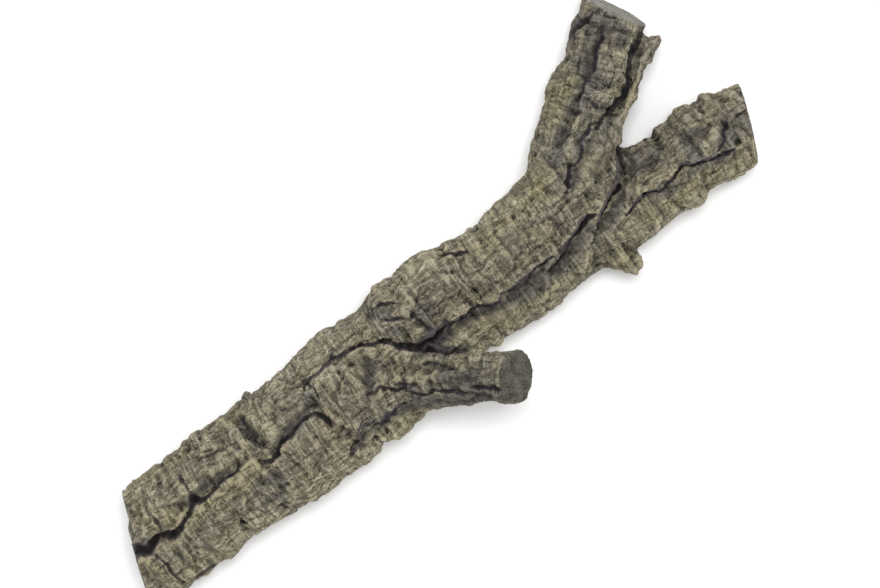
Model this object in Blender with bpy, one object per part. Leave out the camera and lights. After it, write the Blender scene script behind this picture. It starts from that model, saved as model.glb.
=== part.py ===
"""A length of cork-oak branch with its rough bark on, lying on its underside.

A thick trunk runs along X. A short sawn side branch rises from it, and farther on it divides into a fork
that runs straight on and a fork that bends away. The origin is on the floor under the middle of the
branch's box, +X runs along the trunk, and +Z is up. Plan positions below are in millimetres.
"""

import math

import bmesh
import bpy
import numpy as np
from mathutils import Matrix, Vector, noise

MM = 0.001

# Driving dimensions: metres for meshes and gaps, millimetres and degrees where the comment says so.
FITTING_GAP = 0.0003           # left between two neighbouring pieces
GROWTH_VOXEL = 0.0030          # mesh size while the limbs are grown together
BARK_VOXEL = 0.0018            # mesh size while the bark is shaped
FACET_COUNT = 9250             # triangles in the whole branch
BARK_FULLNESS = 1.3            # millimetres that the bark adds all over, which its relief cuts into
UNDERSIDE = -4.0               # millimetres, how low the limbs are drawn before the floor wears them flat
PLAN_MIDDLE = (-2.2, 1.4)      # millimetres, the middle of the finished branch in the plan used here
RING_SIDES = 44                # points around a limb
RING_STEP = 6.0                # millimetres between a limb's rings
GROWTH_SMOOTHING = 4           # passes over the mesh when the limbs have just been joined
BARK_SMOOTHING = 2             # passes before the bark is shaped

# The bark's relief away from its named features: each pattern's size along the grain, across it and
# upright, and how far it lifts or sinks the surface, all in millimetres.
SWELL_SIZE, SWELL_HEIGHT = (52, 38, 38), 2.2
PLATE_SIZE, PLATE_HEIGHT = (27, 19, 19), 1.4
SPLIT_SIZE, SPLIT_DEPTH = (95, 30, 30), 3.2
RIB_SIZE, RIB_HEIGHT = (5.5, 30, 30), 1.0
PLATE_JOINT = 0.16             # how wide the joints between plates are, as a share of a plate
SPLIT_WIDTH = 0.055            # how wide the splits are, as a level of their noise
UNDERSIDE_RELIEF = 0.45        # share of that relief left on the side that lies on the floor
UPPER_SPLITS = 0.2             # share of the splits' depth on the upper side, which has its own cracks
RAGGED_SIZE, RAGGED_SHIFT = 7.0, 1.1    # how the named features wander from their drawn lines
UPPER_FACING = (-0.05, 0.3)    # the features' depth grows from nothing to full between these upright slopes
CRACK_WALL = 1.15              # how far from its line a crack's steep wall reaches, in half widths
CRACK_SHOULDER = 2.6           # how far its worn shoulder reaches, in half widths
CRACK_SHOULDER_DEPTH = 0.22    # the shoulder's share of the crack's depth
FULL_CRACK_WIDTH = 2.0         # half width at which a crack has its stated depth, in millimetres
STEP_FACE = 1.2                # millimetres over which a step's face rises
STEP_TAPER = 0.8               # share of a step's reach over which it fades at its two ends
EDGE_REACH = 3.2               # millimetres from a step over which its edge is drawn out
UNDERCUT = 0.7                 # how far the lower side draws back, as a share of the edge's overhang
SPOT_RIM = (0.3, 1.25)         # where a pit or lump starts to ease and where it ends, in radii

# Where the two limbs' own grain takes over from the trunk's, as bands in millimetres: ahead of the crotch,
# aside from it, ahead of the side branch's root, and out from that branch's axis.
FORK_GRAIN_AHEAD, FORK_GRAIN_ASIDE = (-45.0, 0.0), (-6.0, 14.0)
SIDE_GRAIN_AHEAD, SIDE_GRAIN_OUT = (-22.0, -4.0), (34.0, 40.0)

# The limbs' plan angles, in degrees from +X.
TRUNK_ANGLE = 0.0
BENT_FORK_ANGLE = 38.6
SIDE_BRANCH_ANGLE = -37.5
SIDE_BRANCH_RISE = 36.0
STUB_ANGLE = -90.0

# Each limb is a stack of upright ovals. `left` and `right` are its two outlines seen from above, as (x, y),
# and `under` and `over` are its lowest and highest line, as (distance along the limb, z).
TRUNK = dict(
    angle=TRUNK_ANGLE, start=-350, end=348,
    left=[(-350, 0), (-305, 1), (-295, 4), (-284, 7), (-262, 6), (-232, 9), (-224, 10), (-217, 8),
          (-190, 8), (-176, 11), (-158, 9), (-128, 10), (-110, 14), (-90, 17), (-60, 17), (-45, 15),
          (-25, 14), (10, 12), (50, 9), (100, 6), (150, 3), (205, 1), (225, -3), (243, -9),
          (252, -5), (268, -2), (282, -2), (300, -5), (318, -9), (348, -16)],
    right=[(-350, -88), (-300, -93), (-265, -92), (-252, -94), (-242, -90), (-222, -89), (-205, -90),
           (-190, -93), (-165, -97), (-135, -93), (-110, -95), (-90, -90), (-80, -95), (-60, -90),
           (-40, -85), (-10, -78), (25, -74), (54, -76), (61, -79), (66, -75), (88, -77),
           (103, -78), (118, -75), (150, -74), (190, -76), (220, -74), (248, -78), (257, -72),
           (280, -77), (303, -78), (348, -75)],
    under=[(-350, UNDERSIDE), (348, UNDERSIDE)],
    over=[(-350, 82), (-280, 84), (-200, 86), (-120, 88), (-60, 91), (-20, 87), (30, 79), (80, 73),
          (150, 71), (220, 71), (280, 73), (348, 69)])

UPPER_STRAND = dict(
    angle=TRUNK_ANGLE, start=-84, end=176,
    left=[(-84, 6), (-45, 15), (-25, 22), (-12, 22), (8, 26), (22, 26), (38, 19), (60, 17),
          (74, 17), (90, 22), (110, 25), (130, 26), (150, 33), (176, 36)],
    right=[(-84, -24), (-45, -30), (-18, -38), (5, -34), (40, -36), (55, -43), (75, -41), (110, -39),
           (130, -36), (150, -30), (176, -26)],
    under=[(-84, 6), (0, 0), (176, 2)],
    over=[(-84, 84), (-30, 93), (40, 90), (100, 85), (150, 81), (176, 78)])

BENT_FORK = dict(
    angle=BENT_FORK_ANGLE, start=112, end=306,
    left=[(110, 10), (143, 33), (157, 47), (175, 59), (190, 72), (200, 81), (218, 90), (233, 100),
          (237, 107), (250, 118), (262, 124), (290, 147)],
    right=[(172, -23), (190, -14), (212, 0), (222, 12), (232, 27), (243, 36), (256, 45), (266, 55),
           (289, 71), (306, 86)],
    under=[(112, 6), (180, 1), (230, UNDERSIDE), (306, UNDERSIDE)],
    over=[(112, 76), (150, 80), (200, 72), (250, 63), (306, 58)])

LOOSE_STRIP = dict(
    angle=BENT_FORK_ANGLE, start=172, end=271,
    left=[(205, 20), (231, 27), (243, 32), (253, 39), (263, 50), (276, 60), (286, 66), (296, 63)],
    right=[(213, 2), (223, 11), (236, 21), (251, 30), (263, 38), (275, 45), (291, 52), (297, 56)],
    under=[(172, 12), (210, 12), (255, 14), (272, 19)],
    over=[(172, 68), (200, 60), (230, 55), (258, 52), (272, 46)])

SIDE_BRANCH = dict(
    angle=SIDE_BRANCH_ANGLE, start=-30, end=104,
    left=[(-60, -12), (-37, -25), (-20, -41), (3, -61), (20, -73), (43, -89), (60, -102)],
    right=[(-72, -72), (-47, -86), (-29, -95), (-9, -104), (10, -115), (20, -121), (40, -136)],
    under=[(-30, 8), (15, 38), (60, 76), (104, 110)],
    over=[(-30, 66), (15, 101), (60, 129), (104, 160)])

TWIG_STUB = dict(
    angle=STUB_ANGLE, start=58, end=94,
    left=[(176, -58), (176, -77), (178, -83), (177, -88), (172, -94)],
    right=[(147, -58), (149, -75), (156, -83), (159, -89), (165, -94)],
    under=[(58, 26), (76, 30), (94, 36)],
    over=[(58, 56), (76, 54), (94, 48)])

LIMBS = [TRUNK, UPPER_STRAND, BENT_FORK, LOOSE_STRIP, SIDE_BRANCH, TWIG_STUB]

# Rounded masses, as (centre, half sizes, plan angle): the collar that the side branch grows from, the
# swelling over the knot beside it, and a small knob on the trunk's edge.
SWELLINGS = [
    ((-78, -38, 50), (50, 33, 46), -12.0),
    ((-30, -12, 58), (30, 26, 36), 0.0),
    ((-165, 10.5, 58), (6, 6.5, 7.5), 0.0),
]

# Sawn ends, as (a point on the cut, the cut's outward normal, how far from the point it reaches).
SAWN_ENDS = [
    ((-319, -42, 43), (-0.950, 0.297, 0.10), 90),
    ((319, -42, 38), (0.930, -0.368, 0.06), 90),
    ((283, 99, 28), (0.845, 0.475, 0.245), 75),
    ((32, -104.5, 125), (0.589, -0.453, 0.669), 45),
]

# The butt's upper layer broke off this much shorter than its lower one, in millimetres: it eases in over
# the stated band of Y and fades out over the stated band of X.
BUTT_STEP = 4.5
BUTT_STEP_Y = (-37.0, -31.0)
BUTT_STEP_X = (-306.0, -282.0)

# Cracks that show on the upper side, as points (x, y, half width) with a depth, all in millimetres.
CRACKS = [
    # The butt, with the long split that opens into a notch at the sawn end.
    (10, [(-324, -39, 7.7), (-311, -44, 7.2), (-304, -49, 4.8), (-290, -44, 3.4), (-280, -50, 3.8),
          (-275, -50.5, 3.2), (-255, -41.5, 2.1), (-248, -35, 4.6), (-245, -40, 2.6), (-238, -41, 1.7),
          (-222, -37, 1.3), (-203, -36, 1.3), (-200, -32, 1.3)]),
    (3.5, [(-237, -6, 1.3), (-222, -12, 1.6), (-210, -14, 1.7), (-206, -13, 1.3)]),
    (3, [(-219, -8.5, 1.4), (-213, -10, 1.6)]),
    (3, [(-288, -91, 1.8), (-280, -91, 2.4), (-272, -92.5, 2.2)]),
    # The step across the trunk and the split that runs on toward the collar.
    (7.5, [(-183, -2, 1.8), (-172, -36, 2.2)]),
    (7, [(-184, -44, 1.8), (-176, -46, 2.4), (-168, -44.5, 2.6), (-165, -40, 2), (-160, -38, 2),
         (-152, -39, 1.9), (-148, -37, 1.8), (-136, -34, 1.8), (-130, -33, 1.8), (-124, -33.5, 2),
         (-118.5, -46, 2.4), (-119, -52, 1.6)]),
    (4, [(-123, -17, 1.3), (-118, -23, 1.6), (-117, -28, 1.4)]),
    (4.5, [(-116, -6, 1.6), (-112, -18, 1.6), (-113, -25, 1.4)]),
    (3.2, [(-164, -45, 1.6), (-157, -75, 1.3)]),
    (3, [(-180, -56, 1.4), (-175, -73, 1.4)]),
    (3, [(-183, -53, 1.6), (-175, -53, 1.8)]),
    # The collar that the side branch grows from.
    (7.5, [(-120, -14, 1.4), (-116, -7, 2), (-112, -8.5, 2), (-105, -9, 2), (-90, -6.5, 2.4),
           (-86, -4.5, 2.6), (-82, -7, 2.4), (-75, -8, 2), (-68, -7.5, 2), (-62, -9, 2), (-52, -15, 2.1),
           (-41, -19, 2.2), (-37, -24, 2.4), (-35, -30, 2.6), (-22, -40, 2.2)]),
    (6, [(-117, -79.5, 1.8), (-104, -74, 2.4), (-102, -67, 1.8), (-98, -66, 1.7), (-88, -69, 2),
         (-84, -73, 2.2), (-78, -73, 3), (-73, -70, 2.4), (-69, -72.5, 3.4), (-65, -69.5, 2.2),
         (-57, -71, 1.6)]),
    (5, [(-78, -47, 1.6), (-72, -48.5, 1.9), (-67, -47, 1.6), (-57, -57.5, 2.1), (-49, -60, 2),
         (-42, -73, 2.2), (-37, -75.5, 2), (-31, -74.5, 2), (-22, -83, 2.2), (-17, -85.5, 2.1),
         (-13, -92, 1.8)]),
    # The side branch.
    (4, [(-26, -52, 1.5), (-20, -55, 1.9), (-11, -65, 1.5)]),
    (3.4, [(-7, -63.5, 1.6), (5, -67.5, 1.4)]),
    (4.5, [(-2, -91, 1.8), (16, -106, 2.2)]),
    (11, [(-33, -27, 1.8), (-6, -53, 3), (8, -63.5, 2)]),
    (4, [(-56, -52, 1.4), (-50, -55, 1.8), (-44, -61, 1.6)]),
    (3.6, [(-40, -62, 1.4), (-38, -66, 1.6), (-41, -71, 1.4)]),
    (3.6, [(-28, -66, 1.4), (-30, -71, 1.6)]),
    (3, [(-20, -74, 1.4), (-12, -76, 1.7), (-5, -82, 1.4)]),
    (3, [(-16, -66, 1.4), (-2, -74, 1.4)]),
    # The knot beside it, and the hollow where the upper strand closes over the lower one.
    (13, [(-18, -40, 2.8), (-6, -41, 5.8), (7, -38, 3.2)]),
    (8, [(-10, -12, 2.2), (-6, -29, 3), (-3, -35, 2.6)]),
    (6, [(-35, 9, 1.6), (-27, 8, 2.4), (-14, 0.5, 1.8)]),
    (7.5, [(-31, -6, 2.8), (-25, -8, 4), (-19, -12, 2.8)]),
    (3.5, [(0, -13, 1.4), (0, -31, 1.4)]),
    # The upper strand's plates and its overhanging edge.
    (7.5, [(8, -38.5, 1.8), (18, -38.5, 1.8), (26, -40, 1.8), (36, -38.5, 1.9), (43, -41, 2.2),
           (48, -45, 2.1), (56, -46, 1.8), (60, -42, 1.7), (67, -43.5, 1.8), (80, -43.5, 1.7),
           (100, -40.5, 1.6), (107, -42.5, 1.6), (114, -41, 1.4)]),
    (7.5, [(111, -49, 1.3), (118, -47, 1.7), (129, -40, 2.2), (143, -36.5, 2.8), (154, -31, 3.6),
           (164, -33, 1.8)]),
    (8, [(162, -40, 1.6), (181, -28, 2.4), (199, -19, 3.2), (214, 1, 4.2)]),
    (4.5, [(41, -7, 1.4), (43, -22, 1.6), (45, -28, 1.7), (45, -36, 1.8)]),
    (4.5, [(39, 12, 1.4), (45, 11, 1.8), (48, 7.5, 2.2), (58, 3, 1.4)]),
    (4, [(97, 25, 1.6), (98, 17, 1.6)]),
    (3.2, [(131, -14, 1.3), (136, -26, 1.4)]),
    # The straight fork.
    (6.5, [(185, -48.5, 1.5), (190, -47.5, 1.7), (196, -44.5, 1.8), (205, -43, 1.9), (211, -43, 1.8),
           (223, -48, 1.9), (237, -45.5, 2), (247, -41, 2.4), (251, -42, 2.4), (255, -46, 2.2),
           (260, -48, 2.1), (268, -49.5, 2.2), (284, -55, 2.6), (292, -54, 2.8), (300, -51, 3.2)]),
    (4.5, [(279, -48, 1.7), (285, -46, 2), (292, -38, 2.4), (298, -34, 2.8)]),
    (3.4, [(308, -33, 1.7), (323, -34, 2)]),
    # The bent fork, with the deep split that frees its loose strip.
    (5.5, [(153, -4, 1.6), (158, -2, 2.2), (160, 3, 2.8), (165, 7, 3), (169, 13, 2.4), (173, 11, 1.8),
           (180, 12.5, 1.8), (184, 16, 1.9), (190, 25, 2), (197, 27, 2), (203, 31, 2.4), (209, 30, 1.8)]),
    (7, [(206, 25, 1.6), (218, 31, 2), (224, 30, 2), (237, 34.5, 2.2), (243, 35.5, 2.2),
         (249, 38.5, 2.3), (263, 55.5, 2.7), (269, 60.5, 2.7), (291, 73, 3)]),
    (5, [(209, 56, 1.5), (215, 58, 1.8), (222, 63, 1.9), (233, 66.5, 2), (243, 78, 2.1), (248, 82, 2.1),
         (256, 86, 1.7)]),
    (4.5, [(214, 50, 1.6), (217, 38, 1.8)]),
    (3, [(201, 70, 1.6), (208, 70, 1.8), (211, 64, 1.5)]),
    (5, [(234, 103, 2.2), (239, 106, 3.2), (254, 108, 2.2)]),
    (4, [(246, 103, 1.4), (255, 107, 1.8), (266, 107, 1.6)]),
    (3.6, [(268, 99, 1.8), (275, 93, 1.8)]),
]

# Worn grooves, and ridges where the depth is negative, with soft sides, as points (x, y, reach)
# with a depth.
GROOVES = [
    # The butt, with the long split that opens into a notch at the sawn end.
    (5, [(-313, -44, 6), (-303, -46, 5), (-290, -46, 4.4), (-281, -49, 4)]),
    (3.4, [(-262, -33, 3.5), (-202, -32, 5)]),
    # The step across the trunk and the split that runs on toward the collar.
    (6, [(-179, -1, 3.5), (-172, -28, 4.4)]),
    (4.6, [(-168, -39, 3.5), (-156, -34, 5), (-130, -28, 5.4), (-121, -27, 4)]),
    (3, [(-120, -28, 3), (-119, -42, 4), (-110, -66, 3)]),
    # The collar that the side branch grows from.
    (3.2, [(-79, -47, 4), (-61, -23, 4.5)]),
    (3, [(-108, -84, 3), (-98, -76, 4.5), (-84, -79, 5), (-56, -77, 3.5)]),
    # The side branch.
    (3.4, [(-40, -82, 4), (2, -104, 4)]),
    (2.6, [(-24, -56, 3), (-8, -68, 3)]),
    # The upper strand's plates and its overhanging edge.
    (4.6, [(-4, -45, 5), (30, -46, 6), (46, -51, 6), (62, -50, 7), (80, -51, 8), (100, -50, 7),
           (114, -53, 4)]),
    (5.6, [(118, -52, 5), (152, -42, 8), (162, -46, 5)]),
    (4.6, [(170, -41, 5), (194, -31, 6), (204, -22, 6), (212, -12, 5)]),
    # The lower strand.
    (-2.8, [(91, -65, 1.6), (112, -42, 2)]),
    (-2.4, [(188, -46, 1.4), (203, -25, 1.6)]),
    (-2.4, [(199, -46, 1.4), (205, -36, 2), (212, -28, 1.6)]),
    # The straight fork.
    (2.4, [(211, -15, 4), (220, -19, 4.5)]),
    (2.6, [(222, -20, 4.5), (236, -23, 4.5)]),
    (2.6, [(262, -25, 4.5), (276, -29, 4.5)]),
    # The bent fork, with the deep split that frees its loose strip.
    (3.6, [(171, 33, 3.5), (194, 48, 5.5), (207, 55, 4.5)]),
    (3.2, [(214, 65, 3.5), (234, 77, 6), (243, 84, 4.5)]),
    (3, [(246, 83, 4), (264, 93, 5)]),
    (3, [(162, -2, 3.5), (170, 5, 4), (180, 9, 4), (191, 17, 4.5), (206, 25, 4.5)]),
]

# Steps in the bark, as (rise on the left of the line, drop on its right, how far the edge hangs over,
# reach each way, points). Left is taken walking from the first point to the last.
STEPS = [
    # The butt, with the long split that opens into a notch at the sawn end.
    (2.4, 1.6, 1.2, 10, [(-205, -37), (-232, -39), (-252, -38), (-275, -48), (-285, -43), (-300, -42),
                         (-314, -38)]),
    # The step across the trunk and the split that runs on toward the collar.
    (3, 2, 1.2, 11, [(-177, -38), (-181, -28), (-184.5, -14), (-186, 3)]),
    (2.8, 2.4, 0.6, 12, [(-121, -20), (-133, -21), (-170, -33)]),
    (3, 2, 1.6, 12, [(-170, -44), (-163, -41), (-135, -35.5), (-122, -35)]),
    # The collar that the side branch grows from.
    (2.6, 2.6, 1.2, 13, [(-26, -40), (-33, -33), (-36.5, -25), (-47, -18), (-60, -11.5), (-86, -6.5),
                         (-100, -9.5), (-112, -10), (-116, -25), (-118, -42), (-112, -54), (-104, -66),
                         (-97, -65), (-78, -71), (-65, -68), (-56, -70)]),
    # The side branch.
    (3.4, 2.4, 1.2, 9, [(24, -79), (-6, -58), (-20, -43.5), (-28, -37)]),
    # The knot beside it, and the hollow where the upper strand closes over the lower one.
    (2.4, 1.6, 1, 10, [(-1, -35), (0, -24), (-1, -12)]),
    (1.6, 1.2, 0.8, 9, [(-44, 6), (-34, 8), (-24, 6), (-12, -1)]),
    (1.6, 1.4, 0.8, 8, [(42, -34), (40, -6), (28, 0), (8, 1)]),
    # The upper strand's plates and its overhanging edge.
    (3, 4.6, 2.8, 13, [(-18, -39), (-6, -37), (-2, -34.5), (7, -35), (10, -36.5), (18, -36.5), (25, -38),
                       (32, -37), (43, -37.5), (46, -42), (56, -44), (60, -40.5), (82, -41.5),
                       (100, -38.5), (107, -40.5), (115, -39)]),
    (2.8, 5, 2.8, 14, [(112, -47.5), (118, -45.5), (129, -38), (143, -34), (154, -28.5), (160, -29.5),
                       (164, -31.5)]),
    (3, 5, 3, 14, [(143, -55), (171, -32.5), (199, -17), (213, 1)]),
    # The straight fork.
    (3, 3.2, 2.2, 12, [(186, -47), (196, -43), (211, -41), (223, -46), (237, -43.5), (247, -39),
                       (251, -40), (255, -44), (284, -53)]),
    # The bent fork, with the deep split that frees its loose strip.
    (1.2, 1.4, 1, 9, [(256, 88), (243, 79), (236, 72), (228, 66), (209, 57)]),
    (1.2, 1.6, 1, 9, [(209, 30), (203, 32), (190, 26), (184, 16), (172, 12), (160, 5)]),
]

# Pits, as (x, y, radius, depth), and lumps, as (x, y, radius, height).
PITS = [
    (-232, 3.5, 4.2, 4.5), (-224, 2, 5, 5.5), (-191, -84, 5, 5.5), (-112, -78, 4.5, 4),
    (288, -12, 3.6, 4), (297, -52, 4.2, 5), (297, -33, 4, 4), (268, -26, 7, 2.2), (228, -20, 7.5, 2.2),
    (245, -8, 3.6, 2.6), (217, -16, 5, 1.8), (258, 86, 8, 2), (229, 76, 8.5, 2.2), (182, 41, 6, 1.8),
    (196, 48, 7, 2),
]
LUMPS = [
    (-286, -22, 14, 1.2), (-275, -30, 9, 2.2), (-302, -32, 6, 1.8), (-232, -20, 12, 1.2),
    (-190, -40, 8, 1.4), (-150, -10, 16, 1.6), (-150, -54, 14, 1.2), (-190, -14, 8, 1.8),
    (-92, -30, 20, 2.6), (-103, -62, 9, 2), (-58, -24, 6, 1.6), (-53, -50, 6.5, 4.6),
    (-42, -56, 7.5, 3.6), (-33, -62, 6.5, 4), (-45, -65, 4.6, 3.6), (-36, -69, 5, 3.6),
    (-22, -68, 5.5, 2.6), (-12, -72, 5.5, 2.4), (-2, -78, 5, 2.4), (9, -76, 5, 1.8), (8, -88, 6, 2.4),
    (-20, -79, 5, 2.4), (-8, -88, 4.6, 2.4), (18, -84, 5, 1.6), (-14, -27, 6, 4.5), (-44, -2, 8, 3),
    (-20, 18, 10, 2), (-12, -8, 5, 2.6), (-34, -2, 6, 2.6), (20, 20, 16, 2), (-2, 6, 8, 1.6),
    (62, -22, 16, 1.4), (22, -31, 7, 1.6), (85, -24, 5, 1.2), (74, -35, 5, 1.2), (52, -43, 5, 2),
    (275, -9, 13, 1.8), (284, -35, 7, 2.4), (303, -20, 9, 1.6), (258, -32, 6, 1.6), (200, -34, 6, 1.4),
    (210, 14, 15, 2), (258, 62, 13, 2), (228, 44, 9, 1.6), (200, 76, 9, 1.4), (244, 94, 8, 1.4),
    (176, 22, 9, 1.6),
]

# How the parted pieces are divided: the plane across the trunk, the side branch's root and the crotch.
TRUNK_PARTING_X = -55.0
SIDE_ROOT = (-12.0, -80.0, 87.0)
SIDE_ROOT_RADIUS = 34.0
CROTCH = (213.0, 1.0)
CROTCH_OPENING_ANGLE = 20.0    # the direction that runs out of the crotch between the two forks
FORK_ROOT = 14.0               # how far past the crotch each fork begins
CUTTER_REACH = 260.0           # how far the upright cutting blocks reach in plan
CUTTER_BOTTOM, CUTTER_TOP = -50.0, 250.0
SIDE_ROOT_LENGTH = 120.0
SIDE_ROOT_SIDES = 48

BARK_COLOURS = {
    "lower_trunk": (0.180, 0.158, 0.112),
    "upper_trunk": (0.172, 0.155, 0.110),
    "side_branch": (0.150, 0.140, 0.118),
    "straight_fork": (0.165, 0.150, 0.108),
    "bent_fork": (0.168, 0.156, 0.120),
}
BARK_ROUGHNESS = 0.92


def clear_scene():
    """Remove every object that the scene starts with."""
    for thing in list(bpy.data.objects):
        bpy.data.objects.remove(thing, do_unlink=True)


def limb_frame(angle):
    """The directions along and across a limb, in plan, for its angle in degrees."""
    turn = math.radians(angle)
    return np.array([math.cos(turn), math.sin(turn)]), np.array([-math.sin(turn), math.cos(turn)])


def outline_at(points, angle, stations):
    """Read an outline's sideways offset at each distance along the limb."""
    along, across = limb_frame(angle)
    plan = np.array(points, float)
    return np.interp(stations, plan @ along, plan @ across)


def add_limb(bm, limb):
    """Bridge a limb's upright oval rings into a closed tube."""
    along, across = limb_frame(limb["angle"])
    count = int(round((limb["end"] - limb["start"]) / RING_STEP)) + 1
    stations = np.linspace(limb["start"], limb["end"], count)
    left = outline_at(limb["left"], limb["angle"], stations)
    right = outline_at(limb["right"], limb["angle"], stations)
    under = np.interp(stations, *np.array(limb["under"], float).T)
    over = np.interp(stations, *np.array(limb["over"], float).T)
    rings = []
    for distance, high, low, floor, crown in zip(stations, left, right, under, over):
        middle = along * distance + across * (high + low) / 2
        to_ring = Matrix((
            (across[0] * (high - low) / 2, 0, along[0], middle[0]),
            (across[1] * (high - low) / 2, 0, along[1], middle[1]),
            (0, (crown - floor) / 2, 0, (crown + floor) / 2),
            (0, 0, 0, 1)))
        ring = bmesh.ops.create_circle(bm, segments=RING_SIDES, radius=1.0, matrix=to_ring)["verts"]
        rings.append(list({edge for vert in ring for edge in vert.link_edges}))
    for first, second in zip(rings, rings[1:]):
        bmesh.ops.bridge_loops(bm, edges=first + second)
    for ring in (rings[0], rings[-1]):
        bmesh.ops.edgeloop_fill(bm, edges=ring)


def add_swelling(bm, centre, sizes, angle):
    """Add one rounded mass as a stretched ball."""
    place = Matrix.Translation(centre) @ Matrix.Rotation(math.radians(angle), 4, "Z")
    bmesh.ops.create_icosphere(bm, subdivisions=4, radius=1.0, matrix=place @ Matrix.Diagonal((*sizes, 1)))


def apply_modifiers(thing):
    """Replace an object's mesh with what its modifiers make of it."""
    bpy.context.view_layer.update()
    finished = bpy.data.meshes.new_from_object(thing.evaluated_get(bpy.context.evaluated_depsgraph_get()))
    thing.modifiers.clear()
    thing.data = finished


def remesh(thing, voxel, smoothing):
    """Merge overlapping bodies into one even skin, and soften it."""
    skin = thing.modifiers.new("Grown together", "REMESH")
    skin.mode = "VOXEL"
    skin.voxel_size = voxel
    skin.adaptivity = 0.0
    if smoothing:
        soft = thing.modifiers.new("Softened", "SMOOTH")
        soft.factor = 0.5
        soft.iterations = smoothing
    apply_modifiers(thing)


def grown_limbs():
    """Model every limb and swelling, and grow them together into one object, in metres."""
    bm = bmesh.new()
    for limb in LIMBS:
        add_limb(bm, limb)
    for centre, sizes, angle in SWELLINGS:
        add_swelling(bm, centre, sizes, angle)
    bmesh.ops.recalc_face_normals(bm, faces=bm.faces[:])
    bmesh.ops.scale(bm, vec=(MM, MM, MM), verts=bm.verts[:])
    mesh = bpy.data.meshes.new("branch")
    bm.to_mesh(mesh)
    bm.free()
    branch = bpy.data.objects.new("branch", mesh)
    bpy.context.collection.objects.link(branch)
    remesh(branch, GROWTH_VOXEL, GROWTH_SMOOTHING)
    remesh(branch, BARK_VOXEL, BARK_SMOOTHING)
    return branch


def vertex_arrays(mesh):
    """Positions in millimetres and unit normals of a mesh's points."""
    count = len(mesh.vertices)
    places, normals = np.empty(count * 3, np.float32), np.empty(count * 3, np.float32)
    mesh.vertices.foreach_get("co", places)
    mesh.vertex_normals.foreach_get("vector", normals)
    return places.reshape(-1, 3) / MM, normals.reshape(-1, 3)


def ramp(value, low, high):
    """A smooth step from 0 at low to 1 at high."""
    t = np.clip((value - low) / (high - low), 0, 1)
    return t * t * (3 - 2 * t)


def side_axis():
    """The direction in which the side branch rises."""
    along, _ = limb_frame(SIDE_BRANCH_ANGLE)
    rise = math.radians(SIDE_BRANCH_RISE)
    return np.array((along[0] * math.cos(rise), along[1] * math.cos(rise), math.sin(rise)))


def grains(places):
    """The three directions of growth, each as (weights, positions with the first axis along the grain)."""
    along, across = limb_frame(BENT_FORK_ANGLE)
    ahead = (places[:, :2] - np.array(CROTCH)) @ along
    aside = (places[:, :2] - np.array(CROTCH)) @ across
    bent = ramp(ahead, *FORK_GRAIN_AHEAD) * ramp(aside, *FORK_GRAIN_ASIDE)
    offset = places - np.array(SIDE_ROOT)
    risen = offset @ side_axis()
    out = np.linalg.norm(offset - risen[:, None] * side_axis(), axis=1)
    side = ramp(risen, *SIDE_GRAIN_AHEAD) * (1 - ramp(out, *SIDE_GRAIN_OUT))
    level = np.column_stack((places[:, :2] @ along, places[:, :2] @ across, places[:, 2]))
    _, beside = limb_frame(SIDE_BRANCH_ANGLE)
    sideways = np.array((beside[0], beside[1], 0.0))
    lifted = np.column_stack((places @ side_axis(), places @ sideways,
                              places @ np.cross(side_axis(), sideways)))
    return [((1 - bent) * (1 - side), places), (bent * (1 - side), level), (side, lifted)]


def sampled(function, places, sizes):
    """Evaluate a noise function at every point, with the pattern's size along each axis."""
    scaled = places / np.array(sizes)
    return np.array([function(point) for point in scaled.tolist()])


def lumps_noise(point):
    return noise.fractal(point, 0.9, 2.1, 3)


def plate_noise(point):
    """A crust of plates: each has its own height, and the joints between them are sunk."""
    distances, centres = noise.voronoi(point)
    height = noise.cell(centres[0] * 7.3)
    joint = max(0.0, 1.0 - (distances[1] - distances[0]) / PLATE_JOINT)
    return 0.9 * height - 1.6 * joint * joint


def split_noise(point):
    """Long wandering splits, one where the noise passes through zero."""
    return math.exp(-(noise.noise(point) / SPLIT_WIDTH) ** 2)


def generic_bark(places, normals):
    """The bark's relief away from its named features, in millimetres."""
    relief = np.zeros(len(places))
    split_share = 1 - (1 - UPPER_SPLITS) * ramp(normals[:, 2], 0.2, 0.6)
    for weight, grain in grains(places):
        here = weight > 0.001
        swell = SWELL_HEIGHT * sampled(lumps_noise, grain[here], SWELL_SIZE)
        plates = PLATE_HEIGHT * sampled(plate_noise, grain[here], PLATE_SIZE)
        splits = SPLIT_DEPTH * split_share[here] * sampled(split_noise, grain[here], SPLIT_SIZE)
        ribs = RIB_HEIGHT * sampled(noise.noise, grain[here], RIB_SIZE)
        relief[here] += weight[here] * (swell + plates - splits + ribs)
    underside = UNDERSIDE_RELIEF + (1 - UNDERSIDE_RELIEF) * ramp(normals[:, 2], -0.9, -0.3)
    return (BARK_FULLNESS + relief) * underside


def line_distance(plan, start, end):
    """Distance from plan points to a segment, how far along it, and the side (positive is left)."""
    step = end - start
    offset = plan - start
    t = np.clip(offset @ step / (step @ step), 0, 1)
    gap = offset - t[:, None] * step
    side = step[0] * offset[:, 1] - step[1] * offset[:, 0]
    return np.hypot(gap[:, 0], gap[:, 1]), t, side


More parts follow.
